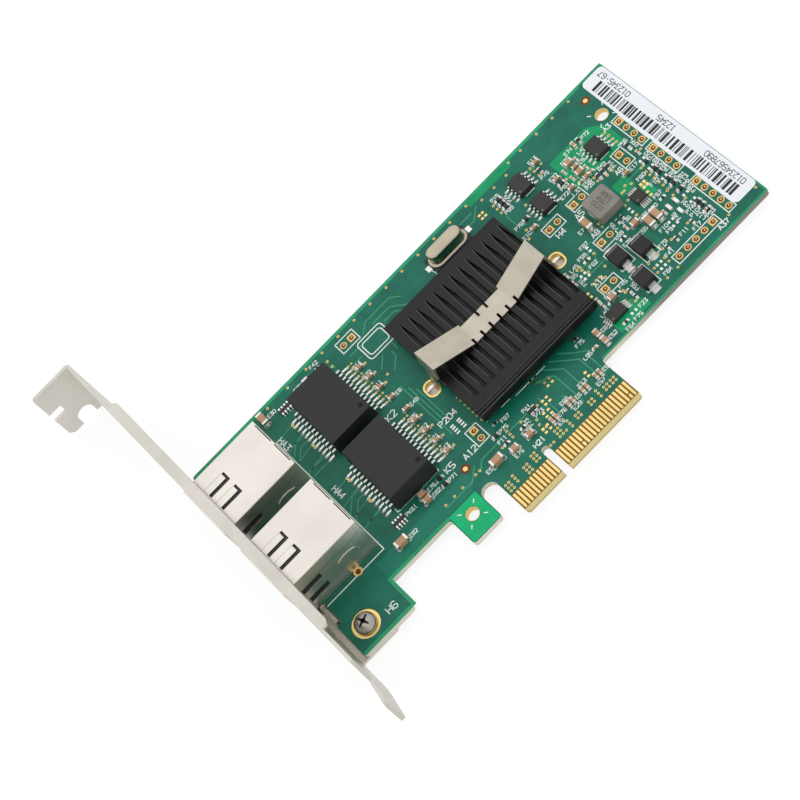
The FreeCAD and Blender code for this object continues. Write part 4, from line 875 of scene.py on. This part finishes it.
def finish_holes():
    """Small plated holes, header rings, empty pads and their insides: copper painted dark brown
    with painted shade, and a painted highlight on the header holes' far walls.
    """
    card = looks()
    rise, wide = card.copper_high * 1000, card.via_wide * 1000
    rings = Stock("small_rings", "gold_plate", "gold_plate")
    # Brown discs stand in the holes: the copper of the barrels, painted darker with the shade
    # inside each hole.
    holes = Stock("hole_insides", "board", "hole_brown")
    heads = Stock("header_rings", "gold_plate", "ring_gold")
    for x, y in VIAS:
        rings.ring(x, y, wide, wide * 0.5, 0, rise + 0.02, 10)
        holes.disc(x, y, wide * 0.56, 0, rise + 0.008, 10)
    for row, y in LEADS:
        for x in (-4.0, -3.1):
            rings.ring(x, y, 0.55, 0.28, 0, rise + 0.02, 8)
            holes.disc(x, y, 0.3, 0, rise + 0.008, 8)
    for x, y, square in HEADERS:
        if square:
            heads.frame(x - 0.76, y - 0.76, x + 0.76, y + 0.76, 0.26, 0, rise + 0.02)
            heads.ring(x, y, 1.6, 1.16, 0, rise + 0.018, 22)
        else:
            heads.ring(x, y, 1.72, 1.16, 0, rise + 0.02, 22)
        holes.disc(x, y, 1.18, 0, rise + 0.012, 22)
        # Painted highlight: a small gold disc off the middle of each header hole stands for its
        # lit far wall.
        heads.disc(x + 0.1, y + 0.05, 0.42, 0, rise + 0.016, 12)
    rings.ring(*SCREW_HOLE, 6.7, 3.6, 0, 0.04, 56)
    rings.ring(*GROUND_HOLE, 2.2, 1.3, 0, 0.04, 32)
    holes.disc(*GROUND_HOLE, 1.35, 0, 0.03, 24)
    walls = Stock("hole_walls", "gold_plate", "hole_gold")
    for x in CLIP_SLOTS:
        rings.line(rounded(x - 0.11, 37.19, x + 3.11, 41.41, 1.51), 0.42, 0, 0.04)
        walls.line(rounded(x + 0.05, 37.35, x + 2.95, 41.25, 1.35), 0.1, 0.02 - BOARD_THICK,
                   0.038)
    for x, y in TOOL_HOLES:
        walls.ring(x, y, 3.3, 3.06, 0.02 - BOARD_THICK, 0.02, 48)
    walls.finish()
    for x in (68.4, 69.4):
        for y in (36.0, 37.1):
            rings.box(x, y, x + 0.7, y + 0.8, 0, rise + 0.02)
    for x, y in ((76, 64.2), (-3, 18.6)):
        holes.ring(x, y, 2.4, 1.2, 0, rise + 0.012, 22)
        rings.disc(x, y, 1.15, 0, rise + 0.02, 22)
    cover("gold_plate", "plated_rings")
    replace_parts(rings.finish(), "plated_rings")
    holes.finish()
    heads.finish()
    fingers = Stock("contact_fingers", "gold_plate", "gold_plate")
    blocks = node_blocks("edge_contacts_front")
    foot = min(low[1] for low, high in blocks)

    def finger(left, low, right, high):
        fingers.prism([(left, high), (left, low + 0.4), (left + 0.16, low + 0.08),
                       (right - 0.16, low + 0.08), (right, low + 0.4), (right, high)], 0, 0.035)

    for low, high in blocks:
        finger(low[0] + 0.06, low[1], high[0] - 0.06, high[1])
        if low[1] > foot + 0.3:
            finger(low[0] + 0.06, foot, high[0] - 0.06, low[1] - 0.2)
    cover("gold_plate", "edge_contacts_front", "edge_contacts_back")
    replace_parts(fingers.finish(), "edge_contacts_front")


def finish_bracket():
    """The bracket, and its screw with a domed head and a cross recess painted as a dark cross
    of shade.
    """
    cover("bracket_steel", "bracket")
    cover("screw_steel", "bracket_screw")
    low, high = node_blocks("bracket_screw")[0]
    x, y = middle(low, high)
    radius, top = (high[0] - low[0]) / 2, high[2]
    screw = Stock("screw_head", "screw_steel", "screw_steel", True)
    screw.turned(x, y, [(1.3, low[2]), (1.45, low[2] + 0.2), (1.45, 0.05), (radius, 0.05),
                        (radius, 0.6), (radius * 0.97, 1.0), (radius * 0.9, 1.3),
                        (radius * 0.76, 1.62), (radius * 0.58, 1.82), (radius * 0.36, 1.9),
                        (radius * 0.15, 1.91)], 48)
    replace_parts(screw.finish(), "bracket_screw")
    # The cross recess is not cut: a dark cross set into the dome is the painted shade of the
    # recess.
    recess = Stock("screw_recess", "screw_steel", "gap_dark")
    for turn in (20, 110):
        angle = math.radians(turn)
        a, b = math.cos(angle), math.sin(angle)
        loop = [(x + a * u - b * v, y + b * u + a * v) for u, v in (
            (-1.55, -0.16), (-0.45, -0.36), (0.45, -0.36), (1.55, -0.16), (1.55, 0.16),
            (0.45, 0.36), (-0.45, 0.36), (-1.55, 0.16))]
        recess.prism(loop, 1.6, top - 0.012)
    recess.finish()


def finish_jacks():
    """The jacks: shields, housings, contacts, windows, the folds of the shields, and a painted
    highlight along the bend at the top of each side wall.
    """
    seams = Stock("shield_folds", "shield_tin", "gap_dark")
    bend_highlights = Stock("shield_bends", "shield_tin", "bend_tin")
    springs = Stock("shield_springs", "shield_tin", "mark_light")
    for jack in ("jack_1", "jack_2"):
        for part, name in (("_shield", "shield_tin"), ("_housing", "housing_plastic"),
                           ("_contacts", "contact_gold"), ("_lights", "light_window")):
            cover(name, jack + part)
        low, high = node_blocks(jack + "_shield")[0]
        back, top = high[0], high[2]
        axis = middle(low, high)[1]
        for side in (-1, 1):
            near, far = sorted((axis + side * 0.6, axis + side * 6.6))
            seams.box(back - 0.42, near, back - 0.16, far, top - 0.01, top + 0.006)
            wall = axis + side * JACK_WIDE / 2
            for start, end in (((-41.5, 9.9), (-39.0, 9.2)), ((-39.0, 9.2), (-31.0, 9.2)),
                               ((-31.0, 9.2), (-28.4, 9.9))):
                seams.standing(start, end, 0.09, wall - 0.006, wall + 0.006)
            # Painted highlight: a pale tan strip along the rounded bend at the top of each side
            # wall, where it catches the light.
            bend_highlights.standing((low[0] + 0.6, top - 0.22), (back - 0.3, top - 0.22), 0.36,
                           wall - 0.008, wall + 0.008)
        for slit in SLITS:
            end, across = low[0] + 9.0, axis + slit
            springs.line([(end, across), (end - 0.7, across + 0.16),
                          (low[0] + 2.2, across + 0.16)], 0.12, top - 0.01, top + 0.006)
    for stock in (seams, bend_highlights, springs):
        stock.finish()


TRANSFORMERS = ("magnetics_1", "magnetics_2")


def finish_transformers():
    """The two transformer packages, their leads and moulding marks."""
    marks = Stock("transformer_marks", "transformer_plastic", "dimple_dark")
    for name in TRANSFORMERS:
        cover("transformer_plastic", name + "_body")
        cover("tinned_lead", name + "_leads")
        low, high = node_blocks(name + "_body")[0]
        marks.disc(high[0] - 1.6, low[1] + 1.9, 1.3, high[2] - 0.02, high[2] + 0.004, 28)
    marks.finish()


def finish_heat_sink():
    """The heat sink with painted highlights beside its grooves and along its front ridges, its
    clip, the controller and its pad.
    """
    cover("sink_aluminium", "heatsink")
    low, high = node_blocks("heatsink")[0]
    # Painted highlights: a lighter line beside each groove where its lit wall catches the
    # light, and three along the front ridges.
    edge_highlights = Stock("groove_edges", "sink_aluminium", "edge_shine")
    for i in range(GROOVES):
        x = low[0] + GROOVE_FIRST + GROOVE_STEP * i - 0.62
        edge_highlights.line([(x, low[1] + 6.2), (x, low[1] + 27.5), (x + 0.5, low[1] + 32.6)], 0.1,
                   high[2] - 0.01, high[2] + 0.006)
    for rise in (0.35, 1.9, 3.4):
        edge_highlights.line([(low[0] + 0.3, low[1] + rise), (high[0] - 0.3, low[1] + rise)], 0.08,
                   high[2] - 0.01, high[2] + 0.006)
    edge_highlights.finish()
    cover("clip_steel", "heatsink_clip")
    cover("chip_plastic", "controller_chip")
    cover("pad_rubber", "thermal_pad")


CHIPS = ("memory_chip_1", "memory_chip_2", "memory_chip_3", "regulator_chip", "switch_chip",
         "rectifier_1", "rectifier_2", "rectifier_3")


def finish_chips():
    """The chips with their dots, and the solder at the foot of every lead."""
    solder = Stock("lead_solder", "tinned_lead", "tinned_lead", True)
    dots = Stock("chip_dots", "chip_plastic", "mark_grey")
    for name in CHIPS + TRANSFORMERS:
        diode = "rectifier" in name
        low, high = node_blocks(name + "_body")[0]
        if name in CHIPS:
            cover("diode_plastic" if diode else "chip_plastic", name + "_body")
            cover("tinned_lead", name + "_leads")
            if diode:
                dots.box(low[0] + 0.3, high[1] - 0.75, high[0] - 0.3, high[1] - 0.45,
                         high[2] - 0.01, high[2] + 0.005)
            else:
                dots.disc(low[0] + 0.62, low[1] + 0.62, 0.5, high[2] - 0.01,
                          high[2] + 0.005, 18)
        home = middle(low, high)
        upward = diode or name == "regulator_chip"
        for lo, hi in node_blocks(name + "_leads"):
            x, y = middle(lo, hi)
            if upward:
                out = (0, 1 if y > home[1] else -1)
                wide = hi[0] - lo[0]
                y = hi[1] if out[1] > 0 else lo[1]
            else:
                out = (1 if x > home[0] else -1, 0)
                wide = hi[1] - lo[1]
                x = hi[0] if out[0] > 0 else lo[0]
            reach = 0.55 if wide < 1 else 0.9
            solder.along(x, y, out, -1.0, reach, wide / 2 + 0.08, 0, 0.028)
            solder.fillet(x, y, out, reach * 0.8, wide, 0.2)
    solder.finish()
    dots.finish()


ARRAYS = ("resistor_array_1", "resistor_array_2")


def finish_chip_parts():
    """Chip capacitors and resistors: bodies, silver ends, pads and solder."""
    card = looks()
    cover("capacitor_ceramic", "capacitors_small", "capacitors_large")
    cover("resistor_ceramic", "resistors", *ARRAYS)
    ends = Stock("silver_ends", "tinned_lead", "tinned_lead")
    solder = Stock("part_solder", "tinned_lead", "tinned_lead", True)
    proud = 0.02
    for node in ("capacitors_small", "capacitors_large", "resistors"):
        for lo, hi in node_blocks(node):
            long, wide, high = hi[0] - lo[0], hi[1] - lo[1], hi[2]
            cap = max(long, wide) * card.cap_share
            half = min(long, wide) / 2
            for side in (-1, 1):
                out = (0, side) if wide > long else (side, 0)
                x, y = middle(lo, hi)
                x += out[0] * long / 2
                y += out[1] * wide / 2
                ends.along(x, y, out, -cap, proud, half + proud, 0, high + proud)
                solder.along(x, y, out, -cap, 0.38, half + 0.1, 0, 0.03)
                solder.fillet(x + out[0] * proud, y + out[1] * proud, out, 0.32,
                              half * 1.8, high * 0.55)
    for node in ARRAYS:
        low, high = node_blocks(node)[0]
        for i in range(4):
            x = middle(low, high)[0] + 0.8 * (i - 1.5)
            for edge, out in ((low[1], -1), (high[1], 1)):
                ends.along(x, edge, (0, out), -0.55, proud, 0.22, 0, high[2] + proud)
                solder.fillet(x, edge + out * proud, (0, out), 0.4, 0.4, 0.4)
    ends.finish()
    solder.finish()


def finish_tiny_parts():
    """The smallest parts: bodies with silver ends, and pads that stay empty."""
    stocks = {"tan": Stock("tiny_capacitors", "capacitor_ceramic", "capacitor_ceramic"),
              "dark": Stock("tiny_resistors", "resistor_ceramic", "resistor_ceramic"),
              "silver": Stock("tiny_ends", "tinned_lead", "tinned_lead"),
              "gold": Stock("tiny_pads", "gold_plate", "gold_plate")}
    for kind, spots in TINY.items():
        pads = stocks["gold" if kind == "gold" else "silver"]
        high = TINY_HIGH.get(kind)
        for x, y, turn in spots:
            for side in (-1, 1):
                out = (0, side) if turn else (side, 0)
                pads.along(x, y, out, 0.3, 0.88, 0.36, 0, 0.05)
                if high:
                    pads.along(x, y, out, 0.32, 0.58, 0.3, 0, high + 0.02)
            if kind == "silver":
                pads.along(x, y, out, -0.8, 0.8, 0.4, 0, 0.5)
            elif high:
                stocks[kind].along(x, y, out, -0.36, 0.36, 0.28, 0, high)
    for x in (1.8, 3.8):
        for y in (28.7, 28.0, 27.2, 26.4):
            stocks["silver"].box(x - 0.5, y - 0.2, x + 0.5, y + 0.2, 0, 0.05)
    for stock in stocks.values():
        stock.finish()


def finish_crystal():
    """The clock crystal: its can with a drawn crown, its base and its leads."""
    cover("chip_plastic", "crystal_base")
    cover("tinned_lead", "crystal_leads")
    low, high = node_blocks("crystal_can")[0]
    x, y = middle(low, high)
    long, wide = high[0] - low[0], high[1] - low[1]
    can = Stock("crystal_crown", "can_steel", "can_steel", True)

    def oval(inset, height):
        radius = wide / 2 - inset
        run = (long - wide) / 2
        return [(x + centre + radius * math.cos(angle), y + radius * math.sin(angle), height)
                for centre, start in ((run, -90), (-run, 90))
                for angle in (math.radians(start + 180 * i / 16) for i in range(17))]

    step, top = low[2] + 0.4, high[2]
    can.skin([oval(inset, height) for inset, height in (
        (0, low[2]), (0, step - 0.08), (0.06, step), (0.52, step + 0.01),
        (0.62, step + 0.08), (0.65, step + 0.2), (0.66, top - 0.5), (0.7, top - 0.3),
        (0.84, top - 0.12), (1.05, top - 0.02), (1.15, top))])
    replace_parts(can.finish(), "crystal_can")
    cover("can_steel", "crystal_can")


def finish_inductor():
    """The power inductor and its end plates."""
    cover("coil_ferrite", "inductor_core")
    cover("tinned_lead", "inductor_terminals")
    low, high = node_blocks("inductor_core")[0]
    stock = Stock("inductor_print", "coil_ferrite", "mark_dark")
    for row, words in enumerate(INDUCTOR_ROWS):
        stock.write(words, low[0] + 1.6 + 1.5 * row, high[1] - 1.9, 1.0, 3, 0.17,
                    high[2] - 0.01, high[2] + 0.006)
    stock.finish()


def finish_label():
    """The paper label with plain bars of mixed widths."""
    cover("label_paper", "label")
    low, high = node_blocks("label")[0]
    rng = random.Random(looks().seed + 3)
    stock = Stock("label_bars", "label_paper", "ink")
    y = low[1] + 2.6
    while y < high[1] - 3.6:
        wide = rng.choice((0.2, 0.2, 0.4, 0.6, 0.8))
        stock.box(low[0] + 0.7, y, low[0] + 3.7, y + wide, high[2] - 0.01, high[2] + 0.008)
        y += wide + rng.choice((0.22, 0.22, 0.4, 0.6))
    for y, words in LABEL_WORDS:
        stock.write(words, low[0] + 5.6, y, 1.35, 1, 0.2, high[2] - 0.01, high[2] + 0.008)
    stock.finish()


def finish_underside():
    """Solder round the pins, shield legs and holes on the side away from the parts."""
    solder = Stock("pin_solder", "tinned_lead", "tinned_lead", True)
    back = -BOARD_THICK
    for jack in ("jack_1", "jack_2"):
        for lo, hi in node_blocks(jack + "_contacts"):
            if lo[2] < back:
                solder.turned(*middle(lo, hi), [
                    (0.2, lo[2] + 0.15), (0.34, back - 0.4), (0.55, back - 0.1),
                    (0.72, back), (0.72, back + 0.02)], 20)
        low, high = node_blocks(jack + "_shield")[0]
        for y in (low[1] + 0.27, high[1] - 0.27):
            solder.turned(-36.5, y, [(0.5, back - 0.5), (0.85, back - 0.2), (1.05, back),
                                     (1.05, back + 0.02)], 20)
    solder.finish()
    rings = Stock("back_rings", "gold_plate", "gold_plate")
    for x, y in VIAS:
        rings.ring(x, y, 0.66, 0.33, back - 0.02, back, 10)
    for x, y, square in HEADERS:
        rings.ring(x, y, 1.75, 1.0, back - 0.02, back, 20)
    for x, y in TOOL_HOLES:
        rings.ring(x, y, 4.4, 3.2, back - 0.03, back, 36)
    rings.finish()
    tracks = Stock("back_tracks", "board", "track_mask")
    for i in range(9):
        y = 26 + 1.1 * i
        tracks.line([(-18, y), (4 + i, y), (9 + i, y + 5), (30 - i, y + 5),
                     (34 - i, y + 9)], 0.24, back - 0.014, back)
    for i in range(7):
        x = 44 + 1.3 * i
        tracks.line([(x, 20), (x, 30 + i), (x + 6, 36 + i), (x + 6, 60 - i)], 0.24,
                    back - 0.014, back)
    tracks.finish()


# The camera as solved from the photo: its place, its axes (right, up, back) and its lens.
CAMERA_PLACE = (-0.03738, -0.32774, 0.47221)
CAMERA_AXES = ((0.69834, -0.60332, -0.38512), (0.71464, 0.55762, 0.42231),
               (-0.04004, -0.57014, 0.82057))
CAMERA_LENS = 117.6
# The floor's half width and its gap under the part, in metres, and how white it looks.
FLOOR_HALF = 3.0
FLOOR_GAP = 0.0002
FLOOR_GLOW = 1.06
FLOOR_SHARE = 0.82
SURROUND = 0.93
LAMP_PLACE = (0.1, 1.4, 2.0)
LAMP_SIDE = 3.2
LAMP_POWER = 7.0


def lamp(name, place, aim, size, power):
    """A soft square lamp that looks at a place."""
    data = bpy.data.lights.new(name, "AREA")
    data.shape = "SQUARE"
    data.size = size
    data.energy = power
    made = bpy.data.objects.new(name, data)
    made.location = place
    made.rotation_euler = (Vector(aim) - Vector(place)).to_track_quat("-Z", "Y").to_euler()
    bpy.context.scene.collection.objects.link(made)


def finish_stage():
    """A pale floor, a white surround, one broad soft lamp and the camera."""
    scene = bpy.context.scene
    scene.view_settings.view_transform = "Standard"
    paint = Paint("floor")
    cloud = paint.noise(60, 2.0)
    white = paint.spread(cloud, 0.3, 0.7, 0.9, 0.94)
    pale = paint.add("BsdfDiffuse", {}, {"Color": paint.add(
        "CombineColor", {}, {"Red": white, "Green": white, "Blue": white})})
    glow = paint.add("Emission", {}, {"Color": (1, 1, 1, 1), "Strength": FLOOR_GLOW})
    rays = paint.add("LightPath", {}, {}, "Is Camera Ray").socket.node
    seen = (Value(paint, rays.outputs["Is Camera Ray"])
            + Value(paint, rays.outputs["Is Glossy Ray"])) * FLOOR_SHARE
    both = paint.add("MixShader", {}, {"Fac": seen})
    node = both.socket.node
    paint.tree.links.new(pale.socket, node.inputs[1])
    paint.tree.links.new(glow.socket, node.inputs[2])
    end = paint.tree.nodes.new("ShaderNodeOutputMaterial")
    paint.tree.links.new(both.socket, end.inputs["Surface"])
    mesh = bpy.data.meshes.new("floor")
    mesh.from_pydata([(x * FLOOR_HALF, y * FLOOR_HALF, 0) for x, y in (
        (-1, -1), (1, -1), (1, 1), (-1, 1))], [], [(0, 1, 2, 3)])
    mesh.materials.append(paint.material)
    floor = bpy.data.objects.new("floor", mesh)
    floor.location.z = min(START[0].z, 0.0) - FLOOR_GAP
    scene.collection.objects.link(floor)

    world = bpy.data.worlds.new("surround")
    world.use_nodes = True
    tree = world.node_tree
    sky = tree.nodes["Background"]
    sky.inputs["Color"].default_value = (1, 1, 1, 1)
    sky.inputs["Strength"].default_value = SURROUND
    bright = tree.nodes.new("ShaderNodeBackground")
    bright.inputs["Color"].default_value = (1, 1, 1, 1)
    bright.inputs["Strength"].default_value = 1.0
    ray = tree.nodes.new("ShaderNodeLightPath")
    pick = tree.nodes.new("ShaderNodeMixShader")
    tree.links.new(ray.outputs["Is Camera Ray"], pick.inputs[0])
    tree.links.new(sky.outputs[0], pick.inputs[1])
    tree.links.new(bright.outputs[0], pick.inputs[2])
    tree.links.new(pick.outputs[0], tree.nodes["World Output"].inputs["Surface"])
    scene.world = world

    lamp("broad_lamp", LAMP_PLACE, (0, 0, 0), LAMP_SIDE, LAMP_POWER)

    camera = bpy.data.cameras.new("camera")
    camera.lens = CAMERA_LENS
    camera.sensor_width = 36.0
    camera.sensor_fit = "HORIZONTAL"
    camera.clip_start = 0.01
    camera.clip_end = 20
    camera.dof.use_dof = False
    made = bpy.data.objects.new("camera", camera)
    turn = Matrix(CAMERA_AXES).transposed().to_4x4()
    made.matrix_world = Matrix.Translation(CAMERA_PLACE) @ turn
    scene.collection.objects.link(made)
    scene.camera = made


class CARD_OT_board(bpy.types.Operator):
    """Finish the board's mask and copper areas"""
    bl_idname = "card.board"
    bl_label = "Board"

    def execute(self, context):
        finish_board()
        return {"FINISHED"}


class CARD_OT_tracks(bpy.types.Operator):
    """Draw the tracks that show through the mask"""
    bl_idname = "card.tracks"
    bl_label = "Tracks"

    def execute(self, context):
        finish_tracks()
        return {"FINISHED"}


class CARD_OT_print(bpy.types.Operator):
    """Print the outlines and part marks"""
    bl_idname = "card.board_print"
    bl_label = "Board print"

    def execute(self, context):
        finish_print()
        return {"FINISHED"}


class CARD_OT_holes(bpy.types.Operator):
    """Add plated holes, header rings, pads and the edge contacts"""
    bl_idname = "card.holes"
    bl_label = "Plated holes and contacts"

    def execute(self, context):
        finish_holes()
        return {"FINISHED"}


class CARD_OT_bracket(bpy.types.Operator):
    """Finish the bracket and its screw"""
    bl_idname = "card.bracket"
    bl_label = "Bracket"

    def execute(self, context):
        finish_bracket()
        return {"FINISHED"}


class CARD_OT_jacks(bpy.types.Operator):
    """Finish the two network jacks"""
    bl_idname = "card.jacks"
    bl_label = "Jacks"

    def execute(self, context):
        finish_jacks()
        return {"FINISHED"}


class CARD_OT_transformers(bpy.types.Operator):
    """Finish the two transformer packages"""
    bl_idname = "card.transformers"
    bl_label = "Transformers"

    def execute(self, context):
        finish_transformers()
        return {"FINISHED"}


class CARD_OT_heat_sink(bpy.types.Operator):
    """Finish the heat sink, its clip and the controller under it"""
    bl_idname = "card.heat_sink"
    bl_label = "Heat sink"

    def execute(self, context):
        finish_heat_sink()
        return {"FINISHED"}


class CARD_OT_chips(bpy.types.Operator):
    """Finish the chips and the solder of their leads"""
    bl_idname = "card.chips"
    bl_label = "Chips"

    def execute(self, context):
        finish_chips()
        return {"FINISHED"}


class CARD_OT_chip_parts(bpy.types.Operator):
    """Finish the chip capacitors and resistors"""
    bl_idname = "card.chip_parts"
    bl_label = "Chip parts"

    def execute(self, context):
        finish_chip_parts()
        return {"FINISHED"}


class CARD_OT_tiny_parts(bpy.types.Operator):
    """Add the smallest parts and the empty pads"""
    bl_idname = "card.tiny_parts"
    bl_label = "Tiny parts"

    def execute(self, context):
        finish_tiny_parts()
        return {"FINISHED"}


class CARD_OT_crystal(bpy.types.Operator):
    """Build the clock crystal's drawn can"""
    bl_idname = "card.crystal"
    bl_label = "Crystal"

    def execute(self, context):
        finish_crystal()
        return {"FINISHED"}


class CARD_OT_inductor(bpy.types.Operator):
    """Finish the power inductor"""
    bl_idname = "card.inductor"
    bl_label = "Inductor"

    def execute(self, context):
        finish_inductor()
        return {"FINISHED"}


class CARD_OT_label(bpy.types.Operator):
    """Finish the label and its bars"""
    bl_idname = "card.label"
    bl_label = "Label"

    def execute(self, context):
        finish_label()
        return {"FINISHED"}


class CARD_OT_underside(bpy.types.Operator):
    """Add solder, rings and tracks on the underside"""
    bl_idname = "card.underside"
    bl_label = "Underside"

    def execute(self, context):
        finish_underside()
        return {"FINISHED"}


class CARD_OT_stage(bpy.types.Operator):
    """Set up the floor, the light and the camera"""
    bl_idname = "card.stage"
    bl_label = "Stage"

    def execute(self, context):
        finish_stage()
        return {"FINISHED"}


OPERATORS = (CARD_OT_board, CARD_OT_tracks, CARD_OT_print, CARD_OT_holes, CARD_OT_bracket,
             CARD_OT_jacks, CARD_OT_transformers, CARD_OT_heat_sink, CARD_OT_chips,
             CARD_OT_chip_parts, CARD_OT_tiny_parts, CARD_OT_crystal, CARD_OT_inductor,
             CARD_OT_label, CARD_OT_underside, CARD_OT_stage)


class CARD_PT_looks(bpy.types.Panel):
    """Lists the steps that build the card's looks"""
    bl_idname = "CARD_PT_looks"
    bl_label = "Network interface card"
    bl_space_type = "VIEW_3D"
    bl_region_type = "UI"
    bl_category = "Card"

    def draw(self, context):
        for operator in OPERATORS:
            self.layout.operator(operator.bl_idname)


CLASSES = (CardLooks,) + OPERATORS + (CARD_PT_looks,)


def register():
    for item in CLASSES:
        bpy.utils.register_class(item)
    bpy.types.Scene.card_looks = PointerProperty(type=CardLooks)


def unregister():
    del bpy.types.Scene.card_looks
    for item in reversed(CLASSES):
        bpy.utils.unregister_class(item)


def main():
    """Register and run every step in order."""
    register()
    for operator in OPERATORS:
        group, name = operator.bl_idname.split(".")
        if getattr(getattr(bpy.ops, group), name)() != {"FINISHED"}:
            raise RuntimeError("%s did not finish" % operator.bl_label)


if __name__ == "__main__":
    main()
